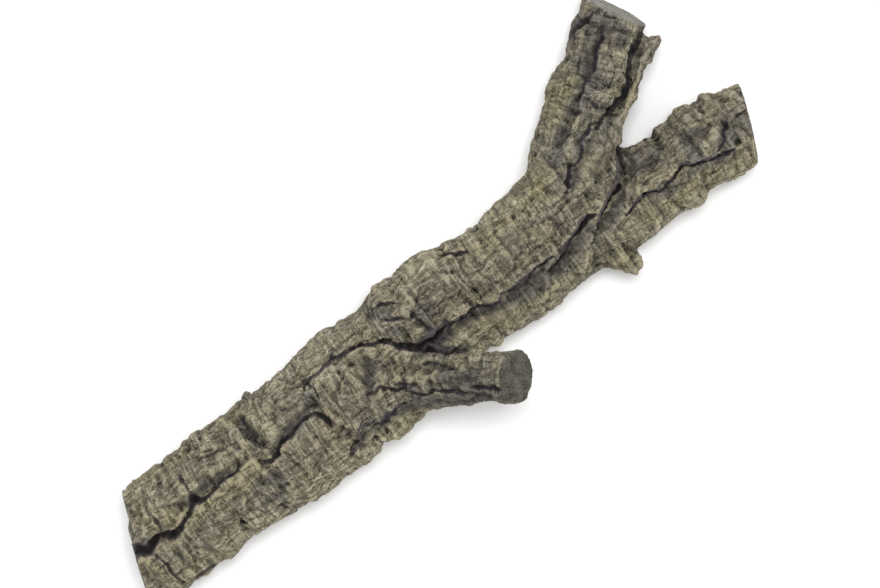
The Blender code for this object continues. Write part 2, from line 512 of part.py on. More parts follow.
def crack_relief(plan, depth, points):
    """A sunk line with its own half width at each point, steep in the middle and easing at its sides."""
    deepest = np.zeros(len(plan))
    for (x0, y0, w0), (x1, y1, w1) in zip(points, points[1:]):
        distance, t, _ = line_distance(plan, np.array((x0, y0)), np.array((x1, y1)))
        width = w0 + (w1 - w0) * t
        wall = np.exp(-(distance / (CRACK_WALL * width)) ** 4)
        shoulder = CRACK_SHOULDER_DEPTH * np.exp(-(distance / (CRACK_SHOULDER * width)) ** 2)
        fullness = np.clip(width / FULL_CRACK_WIDTH, 0.45, 1.2)
        deepest = np.maximum(deepest, np.maximum(wall, shoulder) * fullness)
    return -depth * deepest


def groove_relief(plan, depth, points):
    """A broad, soft-sided line, sunk where its depth is positive and raised where it is negative."""
    share = np.zeros(len(plan))
    for (x0, y0, w0), (x1, y1, w1) in zip(points, points[1:]):
        distance, t, _ = line_distance(plan, np.array((x0, y0)), np.array((x1, y1)))
        share = np.maximum(share, np.exp(-(distance / (w0 + (w1 - w0) * t)) ** 2))
    return -depth * share


def step_relief(plan, rise, drop, overhang, reach, points):
    """Bark that stands up on one side of a line and sinks on the other: its relief, and its shift in plan."""
    nearest, left = np.full(len(plan), 1e9), np.zeros(len(plan))
    outward = np.zeros((len(plan), 2))
    for start, end in zip(points, points[1:]):
        start, end = np.array(start, float), np.array(end, float)
        distance, _, side = line_distance(plan, start, end)
        closer = distance < nearest
        nearest[closer], left[closer] = distance[closer], side[closer]
        outward[closer] = np.array((end[1] - start[1], start[0] - end[0])) / np.linalg.norm(end - start)
    fade = np.ones(len(plan))
    for point in (points[0], points[-1]):
        fade *= ramp(np.hypot(*(plan - np.array(point)).T), 0, STEP_TAPER * reach)
    ease = np.exp(-(nearest / reach) ** 2) * fade * ramp(nearest, 0, STEP_FACE)
    push = np.where(left > 0, overhang, -UNDERCUT * overhang) * fade * np.exp(-(nearest / EDGE_REACH) ** 2)
    return np.where(left > 0, rise, -drop) * ease, push[:, None] * outward


def named_features(places, normals):
    """The features of the upper side: relief along the normal, and a shift in plan, in millimetres."""
    warp = np.array([noise.noise_vector(point)[:2] for point in (places / RAGGED_SIZE).tolist()])
    ragged = places[:, :2] + RAGGED_SHIFT * warp
    relief, shift = np.zeros(len(places)), np.zeros_like(places)
    for depth, points in CRACKS:
        relief = np.minimum(relief, crack_relief(ragged, depth, points))
    for depth, points in GROOVES:
        relief += groove_relief(ragged, depth, points)
    for rise, drop, overhang, reach, points in STEPS:
        lift, push = step_relief(ragged, rise, drop, overhang, reach, points)
        relief += lift
        shift[:, :2] += push
    for sign, spots in ((-1, PITS), (1, LUMPS)):
        for x, y, radius, amount in spots:
            distance = np.hypot(*(ragged - np.array((x, y))).T)
            relief += sign * amount * (1 - ramp(distance / radius, *SPOT_RIM))
    upper = ramp(normals[:, 2], *UPPER_FACING)
    return relief * upper, shift * upper[:, None]


def shape_bark(branch):
    """Push the smooth limbs in and out into bark."""
    places, normals = vertex_arrays(branch.data)
    drawn, shift = named_features(places, normals)
    relief = generic_bark(places, normals) + drawn
    moved = (places + relief[:, None] * normals + shift) * MM
    branch.data.vertices.foreach_set("co", moved.astype(np.float32).ravel())
    branch.data.update()
    remesh(branch, BARK_VOXEL, 0)


def near_geometry(bm, point, reach):
    """The faces around a point, with their edges and corners, as bisect_plane takes them."""
    faces = [face for face in bm.faces if (face.calc_center_median() - point).length < reach]
    edges = {edge for face in faces for edge in face.edges}
    verts = {vert for face in faces for vert in face.verts}
    return faces + list(edges) + list(verts)


def saw(bm, point, normal, reach):
    """Cut everything beyond a plane away, within reach of its point, and close the cut."""
    bmesh.ops.bisect_plane(bm, geom=near_geometry(bm, point, reach), dist=1e-7, plane_co=point,
                           plane_no=normal, clear_outer=True)
    rim = [edge for edge in bm.edges if edge.is_boundary]
    bmesh.ops.holes_fill(bm, edges=rim, sides=0)


def drop_crumbs(bm):
    """Delete every loose body but the largest."""
    bodies = []
    waiting = set(bm.verts)
    while waiting:
        body = {waiting.pop()}
        edge_of = list(body)
        while edge_of:
            vert = edge_of.pop()
            fresh = {edge.other_vert(vert) for edge in vert.link_edges} - body
            body |= fresh
            edge_of.extend(fresh)
        waiting -= body
        bodies.append(body)
    bodies.sort(key=len)
    crumbs = [vert for body in bodies[:-1] for vert in body]
    bmesh.ops.delete(bm, geom=crumbs, context="VERTS")


def trim(branch):
    """Lighten the mesh, then saw its four ends and its flat underside."""
    faces = sum(len(face.vertices) - 2 for face in branch.data.polygons)
    light = branch.modifiers.new("Facets", "DECIMATE")
    light.ratio = FACET_COUNT / faces
    apply_modifiers(branch)
    bm = bmesh.new()
    bm.from_mesh(branch.data)
    for point, normal, reach in SAWN_ENDS:
        saw(bm, Vector(point) * MM, Vector(normal).normalized(), reach * MM)
    saw(bm, Vector((0, 0, 0)), Vector((0, 0, -1)), 10.0)
    drop_crumbs(bm)
    for vert in bm.verts:
        upper_layer = ramp(vert.co.y / MM, *BUTT_STEP_Y)
        near_butt = 1 - ramp(vert.co.x / MM, *BUTT_STEP_X)
        vert.co.x += BUTT_STEP * MM * upper_layer * near_butt
    bmesh.ops.triangulate(bm, faces=bm.faces[:])
    bmesh.ops.recalc_face_normals(bm, faces=bm.faces[:])
    bm.to_mesh(branch.data)
    bm.free()


def cutter(name, bm):
    """Make a hidden wire object out of a closed bmesh."""
    bmesh.ops.recalc_face_normals(bm, faces=bm.faces[:])
    mesh = bpy.data.meshes.new(name)
    bm.to_mesh(mesh)
    bm.free()
    thing = bpy.data.objects.new(name, mesh)
    thing.hide_render = True
    thing.display_type = "WIRE"
    bpy.context.collection.objects.link(thing)
    return thing


def cross_cutter(name, plane):
    """The block on the butt's side of an upright plane across the trunk, at x = `plane` millimetres."""
    far = SAWN_ENDS[0][0][0] - CUTTER_REACH
    return prism_cutter(name, [(far, -CUTTER_REACH), (plane, -CUTTER_REACH), (plane, CUTTER_REACH),
                               (far, CUTTER_REACH)])


def prism_cutter(name, corners):
    """An upright block over plan corners given in millimetres."""
    bm = bmesh.new()
    base = bm.faces.new([bm.verts.new((x * MM, y * MM, CUTTER_BOTTOM * MM)) for x, y in corners])
    lifted = bmesh.ops.extrude_face_region(bm, geom=[base])["geom"]
    bmesh.ops.translate(bm, vec=(0, 0, (CUTTER_TOP - CUTTER_BOTTOM) * MM),
                        verts=[item for item in lifted if isinstance(item, bmesh.types.BMVert)])
    return cutter(name, bm)


def side_root_cutter(name, grow):
    """A round bar along the side branch from its root outward, enlarged by `grow` metres."""
    axis = Vector(side_axis())
    length = SIDE_ROOT_LENGTH * MM
    bm = bmesh.new()
    place = Matrix.Translation(Vector(SIDE_ROOT) * MM + axis * (length / 2 - grow))
    turn = axis.to_track_quat("Z", "Y").to_matrix().to_4x4()
    radius = SIDE_ROOT_RADIUS * MM + grow
    bmesh.ops.create_cone(bm, cap_ends=True, segments=SIDE_ROOT_SIDES, radius1=radius, radius2=radius,
                          depth=length, matrix=place @ turn)
    return cutter(name, bm)


def fork_corners(angle, setback):
    """The plan wedge that holds one fork, from its root outward, moved back by `setback` millimetres."""
    along, across = limb_frame(angle)
    opening, _ = limb_frame(CROTCH_OPENING_ANGLE)
    away = across if angle > CROTCH_OPENING_ANGLE else -across
    start = np.array(CROTCH) + along * (FORK_ROOT - setback)
    return [tuple(start), tuple(start + opening * CUTTER_REACH),
            tuple(start + (opening + away) * CUTTER_REACH), tuple(start + away * CUTTER_REACH)]


def add_boolean(piece, operation, tool):
    """Cut a piece with another object."""
    cut = piece.modifiers.new(operation.capitalize(), "BOOLEAN")
    cut.operation = operation
    cut.object = tool


def bark_material(name, colour):
    """A plain dry bark finish."""
    material = bpy.data.materials.new(name + " bark")
    material.use_nodes = True
    shader = material.node_tree.nodes["Principled BSDF"]
    shader.inputs["Base Color"].default_value = (*colour, 1)
    shader.inputs["Roughness"].default_value = BARK_ROUGHNESS
    shader.inputs["Metallic"].default_value = 0.0
    return material


def part_at_forks(branch):
    """Divide the branch into its five pieces at the two forks."""
    gap = FITTING_GAP / MM
    before = cross_cutter("Lower trunk block", TRUNK_PARTING_X)
    behind = cross_cutter("Lower trunk seat", TRUNK_PARTING_X + gap)
    side = side_root_cutter("Side branch bar", 0.0)
    side_seat = side_root_cutter("Side branch seat", FITTING_GAP)
    bent = prism_cutter("Bent fork wedge", fork_corners(BENT_FORK_ANGLE, 0.0))
    bent_seat = prism_cutter("Bent fork seat", fork_corners(BENT_FORK_ANGLE, gap))
    straight = prism_cutter("Straight fork wedge", fork_corners(TRUNK_ANGLE, 0.0))
    straight_seat = prism_cutter("Straight fork seat", fork_corners(TRUNK_ANGLE, gap))
    cuts = {
        "lower_trunk": [("INTERSECT", before)],
        "side_branch": [("INTERSECT", side)],
        "upper_trunk": [("DIFFERENCE", behind), ("DIFFERENCE", side_seat), ("DIFFERENCE", bent_seat),
                        ("DIFFERENCE", straight_seat)],
        "straight_fork": [("INTERSECT", straight)],
        "bent_fork": [("INTERSECT", bent)],
    }
    middle = bpy.data.objects.new("Plan middle", None)
    middle.location = (-PLAN_MIDDLE[0] * MM, -PLAN_MIDDLE[1] * MM, 0)
    bpy.context.collection.objects.link(middle)
    for name, steps in cuts.items():
        piece = bpy.data.objects.new(name, branch.data.copy())
        bpy.context.collection.objects.link(piece)
        piece.parent = middle
        piece.data.materials.append(bark_material(name, BARK_COLOURS[name]))
        for operation, tool in steps:
            add_boolean(piece, operation, tool)
            tool.parent = middle
    bpy.data.objects.remove(branch, do_unlink=True)


clear_scene()
whole = grown_limbs()
shape_bark(whole)
trim(whole)
part_at_forks(whole)
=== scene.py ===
"""The looks of a cork-oak branch that lies on a pale floor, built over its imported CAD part.

Plan positions are in millimetres, with X along the trunk and Y toward the bent fork, seen from above.
"""

import math

import bmesh
import bpy
import numpy as np
from mathutils import Matrix, Vector, noise


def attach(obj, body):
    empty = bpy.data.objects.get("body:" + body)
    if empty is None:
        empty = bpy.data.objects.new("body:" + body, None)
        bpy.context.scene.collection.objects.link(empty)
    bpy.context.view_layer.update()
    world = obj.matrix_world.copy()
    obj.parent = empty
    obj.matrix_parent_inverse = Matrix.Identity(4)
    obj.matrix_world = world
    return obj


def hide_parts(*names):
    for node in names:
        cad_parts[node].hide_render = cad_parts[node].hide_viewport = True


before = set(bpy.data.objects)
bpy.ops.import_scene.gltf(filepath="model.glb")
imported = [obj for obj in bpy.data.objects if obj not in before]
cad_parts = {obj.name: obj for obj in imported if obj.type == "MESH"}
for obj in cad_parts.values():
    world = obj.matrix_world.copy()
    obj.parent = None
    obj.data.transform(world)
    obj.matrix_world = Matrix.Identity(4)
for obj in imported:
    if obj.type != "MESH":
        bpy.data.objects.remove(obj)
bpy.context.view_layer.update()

# The trunk. The real one is a length of cork-oak limb with its first, rough bark still on, sawn square at
# the butt. It starts as a stack of upright ovals: `left` and `right` are its outlines seen from above, and
# `under` and `over` its lowest and highest line, as (distance along the limb, z).
MM = 0.001
RING_SIDES = 44
RING_STEP = 6.0
UNDERSIDE = -4.0
TRUNK_ANGLE = 0.0


def limb_frame(angle):
    """The directions along and across a limb, in plan, for its angle in degrees."""
    turn = math.radians(angle)
    return np.array([math.cos(turn), math.sin(turn)]), np.array([-math.sin(turn), math.cos(turn)])


def outline_at(points, angle, stations):
    """Read an outline's sideways offset at each distance along the limb."""
    along, across = limb_frame(angle)
    plan = np.array(points, float)
    return np.interp(stations, plan @ along, plan @ across)


def add_limb(bm, angle, start, end, left, right, under, over):
    """Bridge a limb's upright oval rings into a closed tube."""
    along, across = limb_frame(angle)
    stations = np.linspace(start, end, int(round((end - start) / RING_STEP)) + 1)
    left, right = outline_at(left, angle, stations), outline_at(right, angle, stations)
    under = np.interp(stations, *np.array(under, float).T)
    over = np.interp(stations, *np.array(over, float).T)
    rings = []
    for distance, high, low, floor, crown in zip(stations, left, right, under, over):
        middle = along * distance + across * (high + low) / 2
        to_ring = Matrix((
            (across[0] * (high - low) / 2, 0, along[0], middle[0]),
            (across[1] * (high - low) / 2, 0, along[1], middle[1]),
            (0, (crown - floor) / 2, 0, (crown + floor) / 2),
            (0, 0, 0, 1)))
        ring = bmesh.ops.create_circle(bm, segments=RING_SIDES, radius=1.0, matrix=to_ring)["verts"]
        rings.append(list({edge for vert in ring for edge in vert.link_edges}))
    for first, second in zip(rings, rings[1:]):
        bmesh.ops.bridge_loops(bm, edges=first + second)
    for ring in (rings[0], rings[-1]):
        bmesh.ops.edgeloop_fill(bm, edges=ring)


growth = bmesh.new()
add_limb(growth, TRUNK_ANGLE, start=-350, end=348,
         left=[(-350, 0), (-305, 1), (-295, 4), (-284, 7), (-262, 6), (-232, 9), (-224, 10), (-217, 8),
               (-190, 8), (-176, 11), (-158, 9), (-128, 10), (-110, 14), (-90, 17), (-60, 17), (-45, 15),
               (-25, 14), (10, 12), (50, 9), (100, 6), (150, 3), (205, 1), (225, -3), (243, -9),
               (252, -5), (268, -2), (282, -2), (300, -5), (318, -9), (348, -16)],
         right=[(-350, -88), (-300, -93), (-265, -92), (-252, -94), (-242, -90), (-222, -89), (-205, -90),
                (-190, -93), (-165, -97), (-135, -93), (-110, -95), (-90, -90), (-80, -95), (-60, -90),
                (-40, -85), (-10, -78), (25, -74), (54, -76), (61, -79), (66, -75), (88, -77),
                (103, -78), (118, -75), (150, -74), (190, -76), (220, -74), (248, -78), (257, -72),
                (280, -77), (303, -78), (348, -75)],
         under=[(-350, UNDERSIDE), (348, UNDERSIDE)],
         over=[(-350, 82), (-280, 84), (-200, 86), (-120, 88), (-60, 91), (-20, 87), (30, 79), (80, 73),
               (150, 71), (220, 71), (280, 73), (348, 69)])

# The upper strand. A second layer of growth that wells up beside the knot and closes over the lower part of
# the trunk, so that its edge overhangs along most of the upper half.
add_limb(growth, TRUNK_ANGLE, start=-84, end=176,
         left=[(-84, 6), (-45, 15), (-25, 22), (-12, 22), (8, 26), (22, 26), (38, 19), (60, 17),
               (74, 17), (90, 22), (110, 25), (130, 26), (150, 33), (176, 36)],
         right=[(-84, -24), (-45, -30), (-18, -38), (5, -34), (40, -36), (55, -43), (75, -41), (110, -39),
                (130, -36), (150, -30), (176, -26)],
         under=[(-84, 6), (0, 0), (176, 2)],
         over=[(-84, 84), (-30, 93), (40, 90), (100, 85), (150, 81), (176, 78)])

# The bent fork, the limb that leaves at the crotch, and the loose strip of bark that is split from its side.
BENT_FORK_ANGLE = 38.6
add_limb(growth, BENT_FORK_ANGLE, start=112, end=306,
         left=[(110, 10), (143, 33), (157, 47), (175, 59), (190, 72), (200, 81), (218, 90), (233, 100),
               (237, 107), (250, 118), (262, 124), (290, 147)],
         right=[(172, -23), (190, -14), (212, 0), (222, 12), (232, 27), (243, 36), (256, 45), (266, 55),
                (289, 71), (306, 86)],
         under=[(112, 6), (180, 1), (230, UNDERSIDE), (306, UNDERSIDE)],
         over=[(112, 76), (150, 80), (200, 72), (250, 63), (306, 58)])
add_limb(growth, BENT_FORK_ANGLE, start=172, end=271,
         left=[(205, 20), (231, 27), (243, 32), (253, 39), (263, 50), (276, 60), (286, 66), (296, 63)],
         right=[(213, 2), (223, 11), (236, 21), (251, 30), (263, 38), (275, 45), (291, 52), (297, 56)],
         under=[(172, 12), (210, 12), (255, 14), (272, 19)],
         over=[(172, 68), (200, 60), (230, 55), (258, 52), (272, 46)])

# The side branch, a short limb that rises toward the viewer and was sawn off, and the broken stub of a twig
# on the trunk's flank.
SIDE_BRANCH_ANGLE = -37.5
SIDE_BRANCH_RISE = 36.0
STUB_ANGLE = -90.0
add_limb(growth, SIDE_BRANCH_ANGLE, start=-30, end=104,
         left=[(-60, -12), (-37, -25), (-20, -41), (3, -61), (20, -73), (43, -89), (60, -102)],
         right=[(-72, -72), (-47, -86), (-29, -95), (-9, -104), (10, -115), (20, -121), (40, -136)],
         under=[(-30, 8), (15, 38), (60, 76), (104, 110)],
         over=[(-30, 66), (15, 101), (60, 129), (104, 160)])
add_limb(growth, STUB_ANGLE, start=58, end=94,
         left=[(176, -58), (176, -77), (178, -83), (177, -88), (172, -94)],
         right=[(147, -58), (149, -75), (156, -83), (159, -89), (165, -94)],
         under=[(58, 26), (76, 30), (94, 36)],
         over=[(58, 56), (76, 54), (94, 48)])

# The rounded masses: the collar that the side branch grows from, the swelling over the knot beside it, and a
# small knob on the trunk's edge.
for centre, half_sizes, angle in [((-78, -38, 50), (50, 33, 46), -12.0),
                                  ((-30, -12, 58), (30, 26, 36), 0.0),
                                  ((-165, 10.5, 58), (6, 6.5, 7.5), 0.0)]:
    place = Matrix.Translation(centre) @ Matrix.Rotation(math.radians(angle), 4, "Z")
    bmesh.ops.create_icosphere(growth, subdivisions=4, radius=1.0,
                               matrix=place @ Matrix.Diagonal((*half_sizes, 1)))

# All of it grew as one piece, so the limbs are merged into one even skin and softened.
GROWTH_VOXEL = 0.0030
SKIN_VOXEL = 0.0013


def apply_modifiers(thing):
    """Replace an object's mesh with what its modifiers make of it."""
    bpy.context.view_layer.update()
    finished = bpy.data.meshes.new_from_object(thing.evaluated_get(bpy.context.evaluated_depsgraph_get()))
    thing.modifiers.clear()
    thing.data = finished


def remesh(thing, voxel, smoothing):
    """Merge overlapping bodies into one even skin, and soften it."""
    skin = thing.modifiers.new("Grown together", "REMESH")
    skin.mode = "VOXEL"
    skin.voxel_size = voxel
    skin.adaptivity = 0.0
    if smoothing:
        soft = thing.modifiers.new("Softened", "SMOOTH")
        soft.factor = 0.5
        soft.iterations = smoothing
    apply_modifiers(thing)


bmesh.ops.recalc_face_normals(growth, faces=growth.faces[:])
bmesh.ops.scale(growth, vec=(MM, MM, MM), verts=growth.verts[:])
branch = bpy.data.objects.new("branch", bpy.data.meshes.new("branch"))
bpy.context.collection.objects.link(branch)
growth.to_mesh(branch.data)
growth.free()
remesh(branch, GROWTH_VOXEL, 4)
remesh(branch, SKIN_VOXEL, 4)

# The bark over all: thick corky plates on lasting swells, with long wandering splits between them. Each
# pattern's size is along the grain, across it and upright, and the amounts are how far it lifts or sinks.
BARK_FULLNESS = 1.3
SWELL_SIZE, SWELL_HEIGHT = (52, 38, 38), 2.2
PLATE_SIZE, PLATE_HEIGHT = (27, 19, 19), 1.4
SPLIT_SIZE, SPLIT_DEPTH = (95, 30, 30), 3.2
RIB_SIZE, RIB_HEIGHT = (5.5, 30, 30), 1.0
BLOCK_SIZE, BLOCK_HEIGHT = (17, 11, 11), 0.45
CROTCH = np.array((213.0, 1.0))
SIDE_ROOT = np.array((-12.0, -80.0, 87.0))


def vertex_arrays(mesh):
    """Positions in millimetres and unit normals of a mesh's points."""
    count = len(mesh.vertices)
    places, normals = np.empty(count * 3, np.float32), np.empty(count * 3, np.float32)
    mesh.vertices.foreach_get("co", places)
    mesh.vertex_normals.foreach_get("vector", normals)
    return places.reshape(-1, 3) / MM, normals.reshape(-1, 3)


def ramp(value, low, high):
    """A smooth step from 0 at low to 1 at high."""
    t = np.clip((value - low) / (high - low), 0, 1)
    return t * t * (3 - 2 * t)


def side_axis():
    """The direction in which the side branch rises."""
    along, _ = limb_frame(SIDE_BRANCH_ANGLE)
    rise = math.radians(SIDE_BRANCH_RISE)
    return np.array((along[0] * math.cos(rise), along[1] * math.cos(rise), math.sin(rise)))


def side_reach(places):
    """Distance of points past the side branch's root plane, and out from its axis."""
    offset = places - SIDE_ROOT
    ahead = offset @ side_axis()
    return ahead, np.linalg.norm(offset - ahead[:, None] * side_axis(), axis=1)


def grains(places):
    """The three directions of growth, each as (weights, positions with the first axis along the grain)."""
    along, across = limb_frame(BENT_FORK_ANGLE)
    bent = ramp((places[:, :2] - CROTCH) @ along, -45, 0) * ramp((places[:, :2] - CROTCH) @ across, -6, 14)
    ahead, out = side_reach(places)
    side = ramp(ahead, -22, -4) * (1 - ramp(out, 34, 40))
    level = np.column_stack((places[:, :2] @ along, places[:, :2] @ across, places[:, 2]))
    _, beside = limb_frame(SIDE_BRANCH_ANGLE)
    sideways = np.array((beside[0], beside[1], 0.0))
    risen = np.column_stack((places @ side_axis(), places @ sideways,
                             places @ np.cross(side_axis(), sideways)))
    return [((1 - bent) * (1 - side), places), (bent * (1 - side), level), (side, risen)]


def sampled(function, places, sizes):
    """Evaluate a noise function at every point, with the pattern's size along each axis."""
    return np.array([function(point) for point in (places / np.array(sizes)).tolist()])


def lumps_noise(point):
    return noise.fractal(point, 0.9, 2.1, 3)


def plate_noise(point):
    """A crust of plates: each has its own height, and the joints between them are sunk."""
    distances, centres = noise.voronoi(point)
    height = noise.cell(centres[0] * 7.3)
    joint = max(0.0, 1.0 - (distances[1] - distances[0]) / 0.16)
    return 0.9 * height - 1.6 * joint * joint


def block_noise(point):
    """Square-edged blocks with narrow joints, as cork breaks along and across its grain."""
    distances, centres = noise.voronoi(point, distance_metric="CHEBYCHEV")
    height = noise.cell(centres[0] * 5.1)
    joint = max(0.0, 1.0 - (distances[1] - distances[0]) / 0.13)
    return 0.8 * height - 1.1 * joint * joint


def split_noise(point):
    """Long wandering splits, one where the noise passes through zero."""
    return math.exp(-(noise.noise(point) / 0.055) ** 2)


def wandered(places, size, shift):
    """Positions moved about by a slow noise, so that no pattern on them runs dead straight."""
    return places + shift * np.array([noise.noise_vector(point) for point in (places / size).tolist()])


skin, skin_normals = vertex_arrays(branch.data)
relief = np.zeros(len(skin))
flank = 1 - 0.8 * ramp(skin_normals[:, 2], 0.2, 0.6)
for weight, grain in grains(skin):
    here = weight > 0.001
    broad = (SWELL_HEIGHT * sampled(lumps_noise, grain[here], SWELL_SIZE)
             + PLATE_HEIGHT * sampled(plate_noise, grain[here], PLATE_SIZE)
             - SPLIT_DEPTH * flank[here] * sampled(split_noise, grain[here], SPLIT_SIZE)
             + RIB_HEIGHT * sampled(noise.noise, grain[here], RIB_SIZE)
             + BLOCK_HEIGHT * sampled(block_noise, wandered(grain[here], 11.0, 3.0), BLOCK_SIZE))
    relief[here] += weight[here] * broad
relief = (BARK_FULLNESS + relief) * (0.45 + 0.55 * ramp(skin_normals[:, 2], -0.9, -0.3))

# The features that are this branch's own are drawn as lines over its upper side. `cracks` are sunk lines of
# (x, y, half width) with a depth, `troughs` are broad, worn ones, `lips` are edges whose left side, walking
# from first to last point, stands up and hangs over the right, `pits` and `lumps` are round, and `calm` are
# worn, smooth places.
cracks, troughs, lips, pits, lumps, calm = [], [], [], [], [], []

# The butt. A long split runs in from the sawn end, where it opens into a wide notch, past a knot hole.
cracks += [
    (10.0, [(-324, -39, 7.5), (-311, -44, 7.0), (-304, -49, 4.6), (-298, -46.5, 3.4), (-290, -44, 3.2),
            (-285, -46.5, 3.4), (-280, -50, 3.6), (-275, -50.5, 3.0), (-268, -47.5, 2.2), (-262, -45, 1.8),
            (-255, -41.5, 1.9), (-251, -37, 3.2), (-248, -35, 4.4), (-245, -40, 2.4), (-238, -41, 1.5),
            (-228, -39, 1.4), (-222, -37, 1.1), (-210, -37, 1.1), (-203, -36, 1.0), (-200, -32, 0.8)]),
    (2.2, [(-292, -10.5, 0.9), (-287, -13, 0.9), (-283, -15, 0.9), (-272, -16, 1.0), (-262, -15.5, 0.9),
           (-253, -14.5, 0.8)]),
    (3.5, [(-237, -6, 0.9), (-228, -10, 1.2), (-222, -12, 1.4), (-216, -13, 1.6), (-210, -14, 1.5),
           (-206, -13, 1.0)]),
    (3.0, [(-219, -8.5, 1.2), (-213, -10, 1.4)]),
    (2.5, [(-196, -17, 1.0), (-190, -20, 1.2)]),
    (3.0, [(-200, -41, 0.9), (-197, -47, 1.1), (-195, -53, 1.0), (-194, -56, 0.9)]),
    (3.0, [(-220, -59, 1.0), (-215, -56, 1.3), (-211, -55, 1.0)]),
    (2.0, [(-229, -67, 0.8), (-227, -70, 0.9), (-224, -70.5, 0.9), (-217, -68, 0.8)]),
    (2.6, [(-243, -79, 0.9), (-232, -78, 1.0), (-228, -76, 1.8), (-222, -78, 1.4), (-212, -78, 0.9),
           (-200, -75, 0.9)]),
    (2.0, [(-262, -86, 1.0), (-255, -83, 0.9), (-246, -80, 0.9)]),
    (2.4, [(-216, -85, 0.9), (-200, -83, 1.0), (-192, -82, 1.6)]),
    (3.0, [(-288, -91, 1.6), (-280, -91, 2.2), (-272, -92.5, 2.0)]),
    (2.2, [(-286, -14, 1.6), (-285, -26, 2.6), (-284, -40, 2.6)]),
    (2.0, [(-296, -12, 1.0), (-295, -24, 1.4), (-295, -40, 1.2)]),
    (2.4, [(-248, -7, 1.6), (-247, -16, 2.6), (-247, -28, 2.4)]),
    (1.8, [(-262, -26, 1.6), (-261, -38, 2.4)]),
    (2.6, [(-301, -52, 1.6), (-299, -66, 2.2), (-299, -80, 2.2), (-297, -92, 1.8)]),
    (2.2, [(-279, -58, 0.8), (-277, -68, 1.1), (-277, -82, 1.0)]),
    (2.4, [(-262, -58, 0.8), (-262, -67, 1.5), (-259, -80, 1.2)]),
    (1.8, [(-247, -46, 0.8), (-245, -60, 1.2), (-246, -76, 1.0)]),
    (1.8, [(-236, -50, 0.8), (-236, -64, 1.0)]),
]
pits += [(-232, 3.5, 4.2, 4.5), (-224, 2, 5.0, 5.5), (-191, -84, 5.0, 5.5), (-227, -77, 2.4, 3.0),
         (-263, -37, 3.0, 2.5), (-291, -12, 2.5, 2.5), (-299, -87, 2.2, 3.0), (-268, -39, 2.6, 2.0)]
lumps += [(-286, -22, 14.0, 1.2), (-283, -3, 4.0, 1.6), (-275, -30, 9.0, 2.2), (-302, -32, 6.0, 1.8),
          (-232, -20, 12.0, 1.2), (-190, -40, 8.0, 1.4)]
troughs += [(5.0, [(-313, -44, 6.0), (-303, -46, 5.0), (-290, -46, 4.4), (-281, -49, 4.0)]),
            (3.4, [(-262, -33, 3.5), (-246, -33, 5.0), (-226, -32, 5.5), (-214, -32, 5.5), (-202, -32, 5.0)])]
lips += [(2.4, 1.6, 1.2, 10, [(-205, -37), (-232, -39), (-244, -39), (-252, -38), (-262, -43),
                              (-275, -48), (-285, -43), (-300, -42), (-314, -38)])]
troughs += [(1.7, [(-293, -9, 1.6), (-294, -25, 2.6), (-293, -39, 2.4)]),
            (1.7, [(-269, -14, 1.6), (-269, -26, 2.4), (-267, -38, 2.0)]),
            (1.5, [(-259, -12, 1.6), (-259, -24, 2.4), (-258, -34, 2.0)]),
            (1.5, [(-236, -14, 1.6), (-235, -30, 2.4)]),
            (1.7, [(-313, -56, 2.0), (-311, -88, 2.6)]), (1.7, [(-294, -54, 2.0), (-292, -88, 2.6)]),
            (1.7, [(-286, -52, 2.0), (-285, -70, 2.6), (-283, -86, 2.4)]),
            (1.8, [(-271, -54, 2.0), (-268, -70, 2.8), (-262, -83, 2.4)]),
            (1.6, [(-253, -46, 2.0), (-253, -62, 2.6), (-250, -76, 2.2)])]
calm += [(-262, -1, 12, 5, 0), (-238, -86, 7, 4, 0)]

# The step across the trunk above the butt: a ditch under a raised ridge, with a worn slope beyond it, and
# the split that runs on toward the collar.
cracks += [
    (3.6, [(-184, -4, 0.9), (-183, -10, 1.2), (-181, -18, 1.5), (-178, -27, 1.6), (-174, -34, 1.6),
           (-172, -37, 1.4)]),
    (7.0, [(-184, -44, 1.6), (-176, -46, 2.2), (-168, -44.5, 2.4), (-165, -40, 1.8), (-160, -38, 1.8),
           (-152, -39, 1.7), (-148, -37, 1.6), (-142, -36, 1.6), (-136, -34, 1.6), (-130, -33, 1.6),
           (-124, -33.5, 1.8), (-122, -37, 2.2), (-120, -41, 2.4), (-118.5, -46, 2.2), (-119, -52, 1.4)]),
    (4.0, [(-123, -17, 1.0), (-118, -23, 1.4), (-117, -28, 1.2)]),
    (4.5, [(-116, -6, 1.4), (-114, -12, 1.6), (-112, -18, 1.4), (-113, -25, 1.2)]),
    (3.2, [(-164, -45, 1.4), (-161, -57, 1.2), (-159, -68, 1.2), (-157, -75, 1.0)]),
    (3.0, [(-180, -56, 1.2), (-178, -65, 1.4), (-175, -73, 1.2)]),
    (2.6, [(-191, -62, 1.0), (-182, -62, 1.1)]),
    (3.0, [(-183, -53, 1.4), (-175, -53, 1.6)]),
    (2.2, [(-155, -64, 0.9), (-145, -64, 1.1), (-135, -64, 1.0), (-128, -62, 0.8)]),
    (1.8, [(-151, -57, 0.9), (-144, -57, 0.9)]),
    (2.2, [(-150, -75, 1.0), (-139, -75.5, 1.0)]),
    (2.6, [(-149, -80, 1.2), (-143, -79, 1.4)]),
    (2.2, [(-148, -84, 0.9), (-135, -84, 1.0), (-120, -82, 0.9)]),
    (2.2, [(-181, -89, 1.0), (-170, -88, 1.1), (-160, -86, 1.0), (-149, -88, 0.9)]),
    (2.0, [(-170, -66, 0.8), (-168, -78, 1.0)]),
    (1.8, [(-143, -46, 0.8), (-141, -58, 0.9)]),
    (1.8, [(-131, -44, 0.8), (-130, -58, 0.9)]),
]
